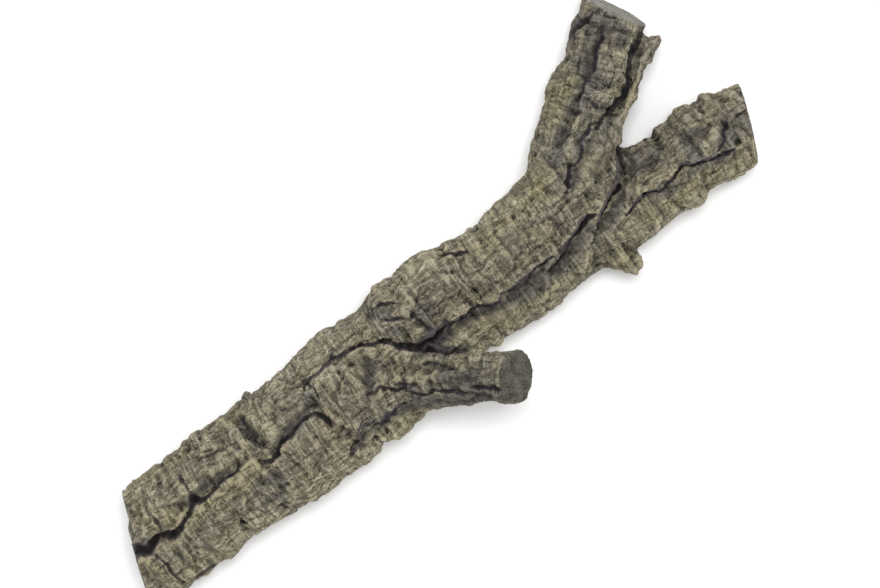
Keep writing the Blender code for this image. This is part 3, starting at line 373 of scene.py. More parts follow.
troughs += [(6.6, [(-179, -1, 4.0), (-178, -9, 5.4), (-176, -18, 5.8), (-173, -29, 4.8)]),
            (4.6, [(-168, -39, 3.5), (-156, -34, 5.0), (-142, -31, 5.4), (-130, -28, 5.4),
                   (-121, -27, 4.0)]),
            (3.0, [(-120, -28, 3.0), (-119, -42, 4.0), (-115, -54, 4.0), (-110, -66, 3.0)])]
lips += [(3.0, 2.0, 1.2, 11, [(-177, -38), (-181, -28), (-184.5, -14), (-186, 3)]),
         (2.4, 2.0, 0.8, 12, [(-121, -35), (-135, -35.5), (-148, -38.5), (-163, -41), (-172, -45)])]
lumps += [(-150, -10, 16.0, 1.6), (-150, -54, 14.0, 1.2), (-190, -14, 8.0, 1.8)]
calm += [(-129, -60, 5, 4, 0)]

# The collar that the side branch grows from: its upper edge stands over a ragged crevice, its lower edge
# breaks into shafts, and a worn recess crosses it.
cracks += [
    (7.5, [(-120, -14, 1.2), (-116, -7, 1.8), (-112, -8.5, 1.8), (-105, -9, 1.8), (-98, -8, 2.0),
           (-90, -6.5, 2.2), (-86, -4.5, 2.4), (-82, -7, 2.2), (-75, -8, 1.8), (-68, -7.5, 1.8),
           (-62, -9, 1.8), (-57, -12, 1.9), (-52, -15, 1.9), (-47, -16.5, 1.8), (-41, -19, 2.0),
           (-37, -24, 2.2), (-35, -30, 2.4), (-29, -35, 2.2), (-22, -40, 2.0)]),
    (6.0, [(-117, -79.5, 1.6), (-110, -77, 2.2), (-104, -74, 2.2), (-102, -67, 1.6), (-98, -66, 1.5),
           (-93, -67, 1.5), (-88, -69, 1.8), (-84, -73, 2.0), (-78, -73, 2.8), (-73, -70, 2.2),
           (-69, -72.5, 3.2), (-65, -69.5, 2.0), (-57, -71, 1.4)]),
    (5.0, [(-78, -47, 1.4), (-72, -48.5, 1.7), (-67, -47, 1.4), (-64, -50, 1.6), (-60, -54, 1.8),
           (-57, -57.5, 1.9), (-52, -58.5, 1.7), (-49, -60, 1.8), (-48, -63, 2.0), (-45, -68, 2.2),
           (-42, -73, 2.0), (-37, -75.5, 1.8), (-31, -74.5, 1.8), (-28, -78, 1.9), (-22, -83, 2.0),
           (-17, -85.5, 1.9), (-13, -92, 1.6)]),
    (1.8, [(-108, -20, 0.9), (-100, -24, 1.0), (-94, -33, 0.9)]),
    (1.8, [(-104, -38, 0.8), (-98, -46, 1.0), (-96, -56, 0.9)]),
    (2.0, [(-88, -20, 0.9), (-86, -30, 1.0), (-88, -42, 0.9)]),
]
troughs += [(3.2, [(-79, -47, 4.0), (-73, -39, 6.0), (-67, -31, 6.5), (-61, -23, 4.5)]),
            (3.0, [(-108, -84, 3.0), (-98, -76, 4.5), (-84, -79, 5.0), (-68, -78, 5.0), (-56, -77, 3.5)])]
lips += [(2.6, 2.6, 1.2, 13, [(-26, -40), (-33, -33), (-36.5, -25), (-47, -18), (-60, -11.5), (-72, -9.5),
                              (-86, -6.5), (-100, -9.5), (-114, -10)]),
         (0.9, 1.0, 0.6, 10, [(-113, -10), (-117, -25), (-117, -42), (-110, -58), (-104, -66)]),
         (2.6, 2.6, 1.6, 12, [(-112, -76), (-104, -72), (-97, -65), (-86, -68), (-78, -71), (-65, -68),
                              (-54, -70)])]
pits += [(-112, -78, 4.5, 4.0), (-95, -84, 3.0, 3.0), (-84, -84, 3.0, 3.0)]
lumps += [(-92, -30, 20.0, 2.6), (-103, -62, 9.0, 2.0), (-58, -24, 6.0, 1.6)]

# The side branch's own bark: a ridged upper edge, a row of lumps where it leaves the collar, and splits
# that run up to its sawn end.
cracks += [
    (4.0, [(-26, -52, 1.3), (-20, -55, 1.7), (-15, -60, 1.7), (-11, -65, 1.3)]),
    (3.4, [(-7, -63.5, 1.4), (0, -66, 1.6), (5, -67.5, 1.2)]),
    (4.5, [(-2, -91, 1.6), (1, -93, 2.0), (6, -97, 2.2), (11, -101, 2.2), (16, -106, 2.0)]),
    (2.6, [(-22, -99, 1.4), (-12, -100, 1.5), (-5, -102, 1.5), (3, -108, 1.5), (8, -113, 1.4),
           (12, -118, 1.3)]),
    (2.4, [(2, -76, 1.0), (10, -82, 1.2), (18, -88, 1.0)]),
    (2.0, [(-10, -78, 0.9), (-2, -82, 1.1), (6, -89, 1.0)]),
    (2.0, [(-52, -42, 1.0), (-44, -40, 1.2), (-38, -42, 1.0)]),
]
cracks += [
    (11.0, [(-33, -28, 1.4), (-26, -34, 2.2), (-18, -42, 3.0), (-12, -47, 3.0), (-6, -53, 2.8),
            (0, -58, 2.4), (8, -63.5, 1.8)]),
    (4.0, [(-56, -52, 1.2), (-50, -55, 1.6), (-44, -61, 1.4)]),
    (3.6, [(-40, -62, 1.2), (-38, -66, 1.4), (-41, -71, 1.2)]),
    (3.6, [(-28, -66, 1.2), (-30, -71, 1.4)]),
    (3.0, [(-20, -74, 1.2), (-12, -76, 1.5), (-5, -82, 1.2)]),
    (3.0, [(-16, -66, 1.2), (-8, -70, 1.4), (-2, -74, 1.2)]),
]
troughs += [(3.4, [(-40, -82, 4.0), (-26, -90, 5.0), (-12, -97, 5.0), (2, -104, 4.0)]),
            (2.6, [(-24, -56, 3.0), (-16, -62, 3.5), (-8, -68, 3.0)])]
lips += [(3.4, 2.4, 1.2, 9, [(24, -79), (14, -72), (3, -64), (-6, -58), (-13, -51.5), (-20, -43.5),
                             (-28, -37)])]
pits += [(-27, -60, 3.0, 2.0)]
lumps += [(-53, -50, 6.5, 4.6), (-42, -56, 7.5, 3.6), (-33, -62, 6.5, 4.0), (-45, -65, 4.6, 3.6),
          (-36, -69, 5.0, 3.6), (-22, -68, 5.5, 2.6), (-12, -72, 5.5, 2.4), (-2, -78, 5.0, 2.4),
          (9, -76, 5.0, 1.8), (8, -88, 6.0, 2.4), (-20, -79, 5.0, 2.4), (-8, -88, 4.6, 2.4),
          (18, -84, 5.0, 1.6), (-14, -58, 4.0, 1.6)]
calm += [(-38, -52, 5, 7, -37)]

# The knot beside the side branch: a swollen top with two holes, and the deep hollow where the upper strand
# closes over the lower one.
cracks += [
    (13.0, [(-18, -40, 2.6), (-12, -40.5, 4.0), (-6, -41, 5.6), (1, -40, 5.4), (7, -38, 3.0)]),
    (4.5, [(-11, -7, 1.0), (-9, -13, 1.4), (-8, -20, 1.6), (-6, -29, 1.9), (-3, -35, 1.8)]),
    (4.5, [(-35, 9, 1.2), (-27, 8, 1.8), (-20, 4.5, 2.0), (-14, 0.5, 1.4)]),
    (4.0, [(-32, -4, 1.2), (-27, -8, 1.8), (-22, -9, 2.0), (-17, -13, 1.3)]),
    (3.5, [(0, -13, 1.2), (0.5, -22, 1.4), (0, -31, 1.2)]),
    (2.6, [(-19, 16, 1.0), (-8, 17, 1.3), (5, 18, 1.0)]),
    (2.8, [(9, 8, 1.1), (16, 8, 1.4), (23, 9.5, 1.1)]),
    (2.0, [(-44, 2, 0.9), (-36, 0, 1.1), (-30, 1, 0.9)]),
    (2.0, [(-45, -6, 0.9), (-40, -10, 1.0), (-36, -15, 0.9)]),
]
lumps += [(-14, -27, 6.0, 4.5), (-44, -2, 8.0, 3.0), (-20, 18, 10.0, 2.0), (-12, -8, 5.0, 2.6),
          (-34, -2, 6.0, 2.6), (20, 20, 16.0, 2.0), (-2, 6, 8.0, 1.6)]
lips += [(2.4, 1.6, 1.0, 10, [(-1, -35), (0, -24), (-1, -12)]),
         (1.6, 1.2, 0.8, 9, [(-44, 6), (-34, 8), (-24, 6), (-12, -1)]),
         (1.6, 1.4, 0.8, 8, [(42, -34), (41.5, -20), (40, -6), (28, 0), (8, 1)])]
calm += [(20, 20, 16, 5, 0)]

# The upper strand's plates, and the lip along which it overhangs the lower strand.
cracks += [
    (7.5, [(8, -38.5, 1.6), (18, -38.5, 1.6), (26, -40, 1.6), (36, -38.5, 1.7), (43, -41, 2.0),
           (48, -45, 1.9), (56, -46, 1.6), (60, -42, 1.5), (67, -43.5, 1.6), (80, -43.5, 1.5),
           (90, -42, 1.4), (100, -40.5, 1.4), (107, -42.5, 1.4), (114, -41, 1.2)]),
    (7.5, [(111, -49, 1.0), (118, -47, 1.5), (124, -44, 1.7), (129, -40, 2.0), (136, -38, 2.2),
           (143, -36.5, 2.6), (149, -34, 3.0), (154, -31, 3.4), (159, -31.5, 2.4), (164, -33, 1.6)]),
    (8.0, [(162, -40, 1.4), (168, -36, 1.8), (175, -32, 2.0), (181, -28, 2.2), (187, -25, 2.3),
           (193, -22, 2.6), (199, -19, 3.0), (205, -12, 3.2), (209, -6, 3.6), (214, 1, 4.0)]),
    (2.6, [(41, -7, 0.9), (42, -15, 1.1), (43, -22, 1.1), (45, -28, 1.2), (45, -36, 1.2)]),
    (2.6, [(35, -11, 0.9), (36, -19, 1.0)]),
    (2.4, [(5, -23, 0.9), (16, -23, 1.2), (28, -23, 1.2), (39, -23, 1.0)]),
    (1.8, [(6, -16.5, 0.8), (20, -16.5, 0.9), (34, -16.5, 0.8)]),
    (1.8, [(14, -10, 0.9), (28, -10, 0.9)]),
    (1.6, [(6, -3, 0.8), (20, -3, 0.9), (36, -3, 0.8)]),
    (4.5, [(39, 12, 1.2), (45, 11, 1.6), (48, 7.5, 2.0), (54, 4.5, 1.8), (58, 3, 1.2)]),
    (2.2, [(47, -1, 0.9), (47, -9, 1.0)]),
    (2.2, [(54, -11, 0.9), (54.5, -23, 1.1)]),
    (2.0, [(48, -33, 0.8), (56, -33, 1.0), (66, -33, 0.8)]),
    (2.0, [(66, -12, 0.8), (67, -24, 1.0), (66, -32, 0.8)]),
    (1.8, [(78, -14, 0.8), (79, -28, 1.1), (79, -38, 0.9)]),
    (1.8, [(92, -11, 1.0), (94, -16, 1.0)]),
    (2.0, [(96, -18, 0.9), (96, -27, 1.1)]),
    (4.0, [(97, 25, 1.4), (98, 17, 1.4)]),
    (3.2, [(131, -14, 1.0), (133, -20, 1.5), (136, -26, 1.2)]),
    (1.8, [(144, 20, 0.8), (145, 10, 1.0), (148, 0, 0.8)]),
    (2.0, [(136, 3, 0.8), (143, 6, 1.0)]),
    (1.6, [(58, -6, 0.8), (68, -6, 0.9)]),
]
lips += [
    (3.0, 4.6, 2.8, 13, [(-18, -39), (-12, -37.5), (-6, -37), (-2, -34.5), (7, -35), (10, -36.5),
                         (18, -36.5), (25, -38), (32, -37), (43, -37.5), (46, -42), (56, -44),
                         (60, -40.5), (67, -41.5), (82, -41.5), (90, -40), (100, -38.5), (107, -40.5),
                         (115, -39)]),
    (2.8, 5.0, 2.8, 14, [(112, -47.5), (118, -45.5), (124, -42), (129, -38), (136, -36), (143, -34),
                         (149, -31.5), (154, -28.5), (160, -29.5), (164, -31.5)]),
    (3.0, 5.0, 3.0, 14, [(143, -55), (150, -49), (158, -43), (166, -36), (171, -32.5), (176, -29.5),
                         (187, -23), (193, -20), (199, -17), (204, -10.5), (208, -5), (213, 1)]),
]
troughs += [
    (4.6, [(-4, -45, 5.0), (12, -46, 6.0), (30, -46, 6.0), (46, -51, 6.0), (62, -50, 7.0), (80, -51, 8.0),
           (100, -50, 7.0), (114, -53, 4.0)]),
    (5.6, [(118, -52, 5.0), (128, -49, 7.0), (140, -46, 8.0), (152, -42, 8.0), (162, -46, 5.0)]),
    (4.6, [(170, -41, 5.0), (182, -36, 6.0), (194, -31, 6.0), (204, -22, 6.0), (212, -12, 5.0)])]
pits += [(106, 5, 2.6, 3.0), (104, -22, 2.4, 2.0), (126, -26, 2.4, 2.0), (101, -3, 1.8, 1.6)]
lumps += [(62, -22, 16.0, 1.4), (22, -31, 7.0, 1.6), (85, -24, 5.0, 1.2), (74, -35, 5.0, 1.2)]
calm += [(100, -10, 20, 4, -24)]

# The lower strand, in the shade of that lip: short splits, and splinters that lie across it.
cracks += [
    (3.0, [(127, -66, 1.2), (131, -65.5, 1.3), (134, -67, 1.3), (145, -67.5, 1.3), (151, -68.5, 1.2),
           (158, -67.5, 1.1)]),
    (2.6, [(159, -63, 1.3), (160, -57, 1.1)]),
    (2.4, [(72, -56, 1.1), (73, -63, 1.2), (74, -71, 1.1)]),
    (2.6, [(100, -59, 1.0), (101, -64, 1.2), (103, -69, 1.0)]),
    (1.6, [(55, -58, 0.8), (54, -70, 1.0)]),
    (1.4, [(87, -55, 0.8), (88, -68, 0.9)]),
    (1.8, [(68, -74.5, 0.8), (80, -75.5, 0.9), (90, -73, 0.8)]),
    (1.6, [(18, -46, 0.9), (20, -60, 1.0)]), (1.6, [(34, -46, 0.9), (35, -62, 1.0)]),
]
lumps += [(52, -43, 5.0, 2.0)]
troughs += [(-2.8, [(91, -65, 1.6), (100, -55, 2.2), (112, -42, 2.0)]),
            (-2.4, [(188, -46, 1.4), (195, -35, 2.0), (203, -25, 1.6)]),
            (-2.4, [(199, -46, 1.4), (205, -36, 2.0), (212, -28, 1.6)])]

# The straight fork: one long split whose upper side overlaps, branching near the sawn end, with pits.
cracks += [
    (6.5, [(185, -48.5, 1.3), (190, -47.5, 1.5), (196, -44.5, 1.6), (205, -43, 1.7), (211, -43, 1.6),
           (217, -46, 1.8), (223, -48, 1.7), (230, -46.5, 1.7), (237, -45.5, 1.8), (243, -43, 2.0),
           (247, -41, 2.2), (251, -42, 2.2), (255, -46, 2.0), (260, -48, 1.9), (268, -49.5, 2.0),
           (275, -52, 2.0), (284, -55, 1.8), (291, -54.5, 1.0)]),
    (4.5, [(279, -48, 1.5), (285, -46, 1.8), (289, -42, 2.0), (292, -38, 2.2), (298, -34, 2.6)]),
    (3.0, [(218, -25, 1.0), (228, -28, 1.3), (236, -26, 1.0)]),
    (3.4, [(308, -33, 1.5), (315, -33.5, 1.8), (323, -34, 1.8)]),
    (2.4, [(298, -40, 1.0), (305, -39, 1.2), (313, -38, 1.0)]),
    (2.2, [(211, -59, 1.0), (219, -59, 1.0)]),
    (2.0, [(222, -62, 0.9), (232, -62, 1.1), (240, -64, 1.1), (250, -63, 1.1), (258, -64, 1.0),
           (268, -65, 0.9)]),
    (2.0, [(215, -71, 0.9), (228, -72, 1.1), (240, -73, 1.1), (247, -71, 0.9)]),
    (2.2, [(263, -12, 0.9), (270, -14, 1.1), (280, -20, 1.2), (289, -24, 1.0)]),
    (2.4, [(309, -14, 1.0), (314, -18, 1.2), (318, -24, 1.0)]),
    (1.8, [(243, -12, 0.8), (242, -22, 1.0), (243, -34, 0.9)]),
    (1.6, [(254, -14, 0.8), (253, -28, 0.9)]),
    (1.6, [(262, -56, 0.8), (263, -70, 0.9)]), (1.6, [(240, -54, 0.8), (241, -68, 0.9)]),
]
lips += [(3.0, 3.2, 2.2, 12, [(186, -47), (196, -43), (205, -41.5), (211, -41), (217, -44), (223, -46),
                              (237, -43.5), (247, -39), (251, -40), (255, -44), (268, -47.5),
                              (284, -53)])]
pits += [(288, -12, 3.6, 4.0), (286, -26, 2.6, 2.6), (297, -52, 4.2, 5.0), (297, -33, 4.0, 4.0),
         (268, -26, 7.0, 2.2), (228, -20, 7.5, 2.2), (245, -8, 3.6, 2.6), (217, -16, 5.0, 1.8)]
lumps += [(275, -9, 13.0, 1.8), (284, -35, 7.0, 2.4), (303, -20, 9.0, 1.6), (258, -32, 6.0, 1.6),
          (200, -34, 6.0, 1.4)]
troughs += [(2.4, [(211, -15, 4.0), (220, -19, 4.5)]), (2.6, [(222, -20, 4.5), (236, -23, 4.5)]),
            (2.6, [(262, -25, 4.5), (276, -29, 4.5)])]
calm += [(283, -35, 6, 6, 0)]

# The bent fork: splits that climb it from the crotch, the deep one that frees the loose strip, and worn
# valleys between them.
cracks += [
    (5.5, [(153, -4, 1.4), (158, -2, 2.0), (160, 3, 2.6), (165, 7, 2.8), (169, 13, 2.2), (173, 11, 1.6),
           (180, 12.5, 1.6), (184, 16, 1.7), (187, 21, 2.0), (190, 25, 1.8), (197, 27, 1.8),
           (203, 31, 2.2), (209, 30, 1.6)]),
    (7.0, [(206, 25, 1.4), (212, 28, 1.6), (218, 31, 1.8), (224, 30, 1.8), (230, 31.5, 1.9),
           (237, 34.5, 2.0), (243, 35.5, 2.0), (249, 38.5, 2.1), (254, 43.5, 2.2), (259, 50.5, 2.4),
           (263, 55.5, 2.5), (269, 60.5, 2.5), (276, 64, 2.5), (283, 68, 2.6), (291, 73, 2.8)]),
    (5.0, [(209, 56, 1.3), (215, 58, 1.6), (218, 61, 1.8), (222, 63, 1.7), (228, 65, 1.7), (233, 66.5, 1.8),
           (236, 71, 1.8), (240, 73.5, 1.9), (243, 78, 1.9), (248, 82, 1.9), (252, 84, 1.7),
           (256, 86, 1.5)]),
    (4.5, [(214, 50, 1.4), (215.5, 44, 1.8), (217, 38, 1.6)]),
    (3.0, [(201, 70, 1.4), (208, 70, 1.6), (211, 64, 1.3)]),
    (5.0, [(234, 103, 2.0), (239, 106, 3.0), (246, 107, 3.0), (254, 108, 2.0)]),
    (4.0, [(246, 103, 1.2), (255, 107, 1.6), (266, 107, 1.4)]),
    (3.6, [(268, 99, 1.6), (271, 96, 2.0), (275, 93, 1.6)]),
    (2.0, [(180, 26, 0.9), (190, 34, 1.2), (200, 40, 0.9)]),
    (1.8, [(165, -8, 0.8), (172, -5, 1.0), (180, -3, 0.8)]),
    (1.8, [(232, 50, 0.9), (243, 58, 1.1), (252, 67, 0.9)]),
    (1.8, [(246, 60, 0.9), (258, 70, 1.1), (268, 80, 0.9)]),
    (2.0, [(192, 58, 0.9), (202, 62, 1.0), (206, 66, 0.9)]),
    (1.8, [(158, 30, 0.8), (157, 40, 1.0)]), (1.8, [(168, 38, 0.8), (167, 48, 1.0)]),
]
lips += [(1.2, 1.4, 1.0, 9, [(256, 88), (243, 79), (236, 72), (228, 66), (209, 57)]),
         (1.2, 1.6, 1.0, 9, [(209, 30), (203, 32), (190, 26), (184, 16), (172, 12), (160, 5)])]
pits += [(259, 42, 2.2, 2.0), (258, 86, 8.0, 2.0), (229, 76, 8.5, 2.2), (182, 41, 6.0, 1.8),
         (196, 48, 7.0, 2.0), (152, 37, 2.6, 2.6)]
lumps += [(210, 14, 15.0, 2.0), (258, 62, 13.0, 2.0), (228, 44, 9.0, 1.6), (200, 76, 9.0, 1.4),
          (244, 94, 8.0, 1.4), (176, 22, 9.0, 1.6)]
troughs += [(3.6, [(171, 33, 3.5), (182, 40, 5.0), (194, 48, 5.5), (207, 55, 4.5)]),
            (3.2, [(214, 65, 3.5), (224, 71, 5.5), (234, 77, 6.0), (243, 84, 4.5)]),
            (3.0, [(246, 83, 4.0), (256, 88, 5.5), (264, 93, 5.0)]),
            (3.0, [(162, -2, 3.5), (170, 5, 4.0), (180, 9, 4.0), (191, 17, 4.5), (206, 25, 4.5)])]
calm += [(193, 2, 20, 7, 32)]


def near_points(plan, points, margin):
    """Which plan points lie in a line's box, widened by a margin."""
    corners = np.array([point[:2] for point in points])
    return np.all((plan > corners.min(0) - margin) & (plan < corners.max(0) + margin), axis=1)


def line_distance(plan, start, end):
    """Distance from plan points to a segment, how far along it, and the side (positive is left)."""
    step = end - start
    offset = plan - start
    t = np.clip(offset @ step / (step @ step), 0, 1)
    gap = offset - t[:, None] * step
    side = step[0] * offset[:, 1] - step[1] * offset[:, 0]
    return np.hypot(gap[:, 0], gap[:, 1]), t, side


def sink_crack(sunk, plan, depth, points):
    """Sink a line that has its own half width at each point, and opens and closes as it goes."""
    here = near_points(plan, points, 16.0)
    local, deepest = plan[here], np.zeros(here.sum())
    gape = np.array([noise.noise((x / 4.5, y / 4.5, depth)) for x, y in local.tolist()])
    for (x0, y0, w0), (x1, y1, w1) in zip(points, points[1:]):
        distance, t, _ = line_distance(local, np.array((x0, y0)), np.array((x1, y1)))
        width = (w0 + (w1 - w0) * t) * (1 + 0.25 * gape)
        wall = np.exp(-(distance / (0.3 + 0.72 * width)) ** 4)
        slope = 0.22 * np.exp(-(distance / (2.6 * width)) ** 2)
        deepest = np.maximum(deepest, np.maximum(wall, slope) * np.clip(width / 2.0, 0.45, 1.2))
    sunk[here] = np.minimum(sunk[here], -depth * deepest * (0.92 + 0.2 * gape))


def sink_trough(sunk, plan, depth, points):
    """Sink a broad, soft-sided line. Returns which points it reaches, and how worn it leaves them."""
    here = near_points(plan, points, 16.0)
    local, worn = plan[here], np.zeros(here.sum())
    for (x0, y0, w0), (x1, y1, w1) in zip(points, points[1:]):
        distance, t, _ = line_distance(local, np.array((x0, y0)), np.array((x1, y1)))
        worn = np.maximum(worn, np.exp(-(distance / (w0 + (w1 - w0) * t)) ** 2))
    sunk[here] -= depth * worn
    return here, worn


def raise_lip(relief, shift, plan, rise, drop, overhang, reach, points):
    """Lift the left side of a line, sink its right side, and draw the edge out over the drop."""
    here = near_points(plan, points, 2.0 * reach)
    local = plan[here]
    nearest, left = np.full(len(local), 1e9), np.zeros(len(local))
    outward = np.zeros((len(local), 2))
    for start, end in zip(points, points[1:]):
        start, end = np.array(start, float), np.array(end, float)
        distance, _, side = line_distance(local, start, end)
        closer = distance < nearest
        nearest[closer], left[closer] = distance[closer], side[closer]
        outward[closer] = np.array((end[1] - start[1], start[0] - end[0])) / np.linalg.norm(end - start)
    fade = np.ones(len(local))
    for point in (points[0], points[-1]):
        fade *= ramp(np.hypot(*(local - np.array(point)).T), 0, 0.8 * reach)
    ease = np.exp(-(nearest / reach) ** 2) * fade
    relief[here] += np.where(left > 0, rise, -drop) * ease * ramp(nearest, 0, 1.2)
    push = np.where(left > 0, overhang, -0.7 * overhang) * fade * np.exp(-(nearest / 3.2) ** 2)
    shift[here, :2] += push[:, None] * outward


def add_named_features(places, normals):
    """All the drawn features as relief along the normal and as a shift in plan, in millimetres."""
    plan = wandered(wandered(places, 7.0, 1.1), 2.6, 0.8)[:, :2]
    relief, shift = np.zeros(len(places)), np.zeros_like(places)
    for depth, points in cracks:
        sink_crack(relief, plan, depth, points)
    for depth, points in troughs:
        sink_trough(relief, plan, depth, points)
    for rise, drop, overhang, reach, points in lips:
        raise_lip(relief, shift, plan, rise, drop, overhang, reach, points)
    for sign, spots in ((-1, pits), (1, lumps)):
        for x, y, radius, amount in spots:
            distance = np.hypot(*(plan - np.array((x, y))).T)
            relief += sign * amount * (1 - ramp(distance, 0.3 * radius, 1.25 * radius))
    upper = ramp(normals[:, 2], -0.05, 0.3)
    return relief * upper, shift * upper[:, None]


drawn, drawn_shift = add_named_features(skin, skin_normals)
moved = skin + (relief + drawn)[:, None] * skin_normals + drawn_shift
branch.data.vertices.foreach_set("co", (moved * MM).astype(np.float32).ravel())
branch.data.update()
remesh(branch, 0.0012, 0)

# The four ends were sawn straight through wood and bark, and the underside is worn flat where it lies.
# Each saw cut is (a point on it, its outward normal, how far from the point it reaches).
SAWN_ENDS = [
    ((-319, -42, 43), (-0.950, 0.297, 0.10), 90),
    ((319, -42, 38), (0.930, -0.368, 0.06), 90),
    ((283, 99, 28), (0.845, 0.475, 0.245), 75),
    ((32, -104.5, 125), (0.589, -0.453, 0.669), 45),
]


def near_geometry(bm, point, reach):
    """The faces around a point, with their edges and corners, as bisect_plane takes them."""
    faces = [face for face in bm.faces if (face.calc_center_median() - point).length < reach]
    edges = {edge for face in faces for edge in face.edges}
    verts = {vert for face in faces for vert in face.verts}
    return faces + list(edges) + list(verts)


def saw(bm, point, normal, reach):
    """Cut everything beyond a plane away, within reach of its point, and close the cut."""
    bmesh.ops.bisect_plane(bm, geom=near_geometry(bm, point, reach), dist=1e-7, plane_co=point,
                           plane_no=normal, clear_outer=True)
    rim = [edge for edge in bm.edges if edge.is_boundary]
    bmesh.ops.holes_fill(bm, edges=rim, sides=0)


def butt_step(places):
    """How far the butt's upper layer broke off short of its lower one, in millimetres."""
    return 4.5 * ramp(places[:, 1], -37, -31) * (1 - ramp(places[:, 0], -306, -282))


bm = bmesh.new()
bm.from_mesh(branch.data)
for point, normal, reach in SAWN_ENDS:
    saw(bm, Vector(point) * MM, Vector(normal).normalized(), reach * MM)
saw(bm, Vector((0, 0, 0)), Vector((0, 0, -1)), 10.0)
for vert, step in zip(bm.verts, butt_step(np.array([vert.co for vert in bm.verts]) / MM)):
    vert.co.x += step * MM
bmesh.ops.triangulate(bm, faces=[face for face in bm.faces if len(face.verts) > 4])
bm.to_mesh(branch.data)
bm.free()
remesh(branch, 0.00098, 0)

# The fine bark on top of that: ribs across the grain where the cork has shrunk, layer lines along it, short
# checks both ways and a dry grit. Sawn faces have only shallow saw marks and open grain.
RIBS = [((8.0, 50, 50), 2.3), ((2.8, 26, 26), 1.0)]
LAYERS = [((40, 4.2, 4.2), 0.9), ((26, 1.7, 1.7), 0.7)]
CHECK_SIZE = (15, 8, 8)
GRIT_SIZE = 1.9
TRIANGLES = 485000
CREASES = [((12, 36, 36), 0.8), ((46, 10, 10), 0.6)]


def check_noise(point):
    """Short, sharp checks along the edges of some square cells, each cell standing at its own height."""
    distances, centres = noise.voronoi(point, distance_metric="CHEBYCHEV")
    edge = max(0.0, 1.0 - (distances[1] - distances[0]) / 0.12)
    open_here = min(1.0, max(0.0, 4.0 * noise.noise(tuple(1.7 * axis + 31.0 for axis in point))))
    return 0.15 * noise.cell(centres[0] * 3.7) - 1.2 * edge * edge * open_here


def crease_noise(point):
    """Narrow creases that wander, open in some places and closed in others."""
    crease = math.exp(-(noise.noise(point) / 0.085) ** 2)
    return crease * min(1.0, max(0.0, 0.45 + 1.8 * noise.noise(tuple(0.6 * axis + 7.0 for axis in point))))


def grit_noise(point):
    return noise.turbulence(point, 3, True, noise_basis="PERLIN_ORIGINAL", amplitude_scale=0.6,
                            frequency_scale=2.1)


def spot_share(plan, spots):
    """How far each point lies inside any of the oval spots (x, y, half length, half width, angle)."""
    share = np.zeros(len(plan))
    for x, y, half_length, half_width, angle in spots:
        along, across = limb_frame(angle)
        offset = plan - np.array((x, y))
        distance = np.hypot(offset @ along / half_length, offset @ across / half_width)
        share = np.maximum(share, 1 - ramp(distance, 0.4, 1.3))
    return share


def sawn_share(places):
    """1 on a sawn face, 0 away from it."""
    share = np.zeros(len(places))
    unstepped = places.copy()
    unstepped[:, 0] -= butt_step(places)
    for point, normal, reach in SAWN_ENDS:
        outward = np.array(normal) / np.linalg.norm(normal)
        offset = unstepped - np.array(point)
        on_face = (np.abs(offset @ outward) < 1.3) & (np.linalg.norm(offset, axis=1) < reach)
        share[on_face] = 1.0
    return share


def worn_share(places, normals):
    """How far worn places and the bottoms of troughs have lost their fine bark."""
    plan = wandered(places, 8.0, 2.0)[:, :2]
    share = spot_share(plan, calm)
    for depth, points in troughs:
        if depth > 0:
            here, worn = sink_trough(np.zeros(len(plan)), plan, 0.0, points)
            share[here] = np.maximum(share[here], 0.8 * worn)
    return share * ramp(normals[:, 2], 0.0, 0.3)


def split_share(places, normals):
    """How deep each point lies inside a drawn crack, from 0 to 1."""
    plan = wandered(wandered(places, 7.0, 1.1), 2.6, 0.8)[:, :2]
    sunk = np.zeros(len(plan))
    for depth, points in cracks:
        sink_crack(sunk, plan, depth, points)
    return ramp(-sunk, 0.9, 4.0) * ramp(normals[:, 2], -0.35, 0.0)


bark, bark_normals = vertex_arrays(branch.data)
sawn = sawn_share(bark)
worn = worn_share(bark, bark_normals)
split = split_share(bark, bark_normals)
fine = np.zeros(len(bark))
for weight, grain in grains(bark):
    here = weight > 0.001
    wavy = wandered(wandered(grain[here], 34.0, 7.0), 6.0, 0.9)
    ribbed = ramp(sampled(noise.noise, grain[here], (36, 22, 22)), -0.3, 0.15)
    ribs = sum(height * sampled(noise.noise, wavy, size) for size, height in RIBS)
    layers = sum(height * sampled(noise.noise, wavy, size) for size, height in LAYERS)
    creases = sum(depth * sampled(crease_noise, wavy, size) for size, depth in CREASES)
    fine[here] += weight[here] * (ribbed * ribs + (1 - 0.45 * ribbed) * layers - creases
                                  + 0.8 * sampled(check_noise, wavy, CHECK_SIZE)
                                  - 0.8 * sampled(grit_noise, grain[here], (GRIT_SIZE,) * 3))
resting = ramp(bark[:, 2], 0.2, 1.5)
fine = (fine + 0.5) * (1 - 0.72 * worn) * (1 - 0.85 * split) * (1 - sawn) * resting
end_grain = -0.8 * sampled(grit_noise, bark, (2.4,) * 3) * sawn * resting
bark += (fine + end_grain)[:, None] * bark_normals
bark[:, 2] = np.maximum(bark[:, 2], 0.0)
branch.data.vertices.foreach_set("co", (bark * MM).astype(np.float32).ravel())
branch.data.update()
branch.data.validate()

lighter = branch.modifiers.new("Lighter", "DECIMATE")
lighter.ratio = TRIANGLES / sum(len(face.vertices) - 2 for face in branch.data.polygons)
apply_modifiers(branch)

# How far each point lies in a hollow or on a crest is kept for the finish, at a fine and a broad scale; from it the
# finish paints shade into the hollows and a highlight onto the crests.
def average_neighbours(edges, values, counts):
    """Each point's mean over the points that its edges lead to."""
    total = np.zeros_like(values)
    for axis in range(values.shape[1]):
        column = values[:, axis]
        total[:, axis] = (np.bincount(edges[:, 0], column[edges[:, 1]], len(values))
                          + np.bincount(edges[:, 1], column[edges[:, 0]], len(values)))
    return total / counts[:, None]


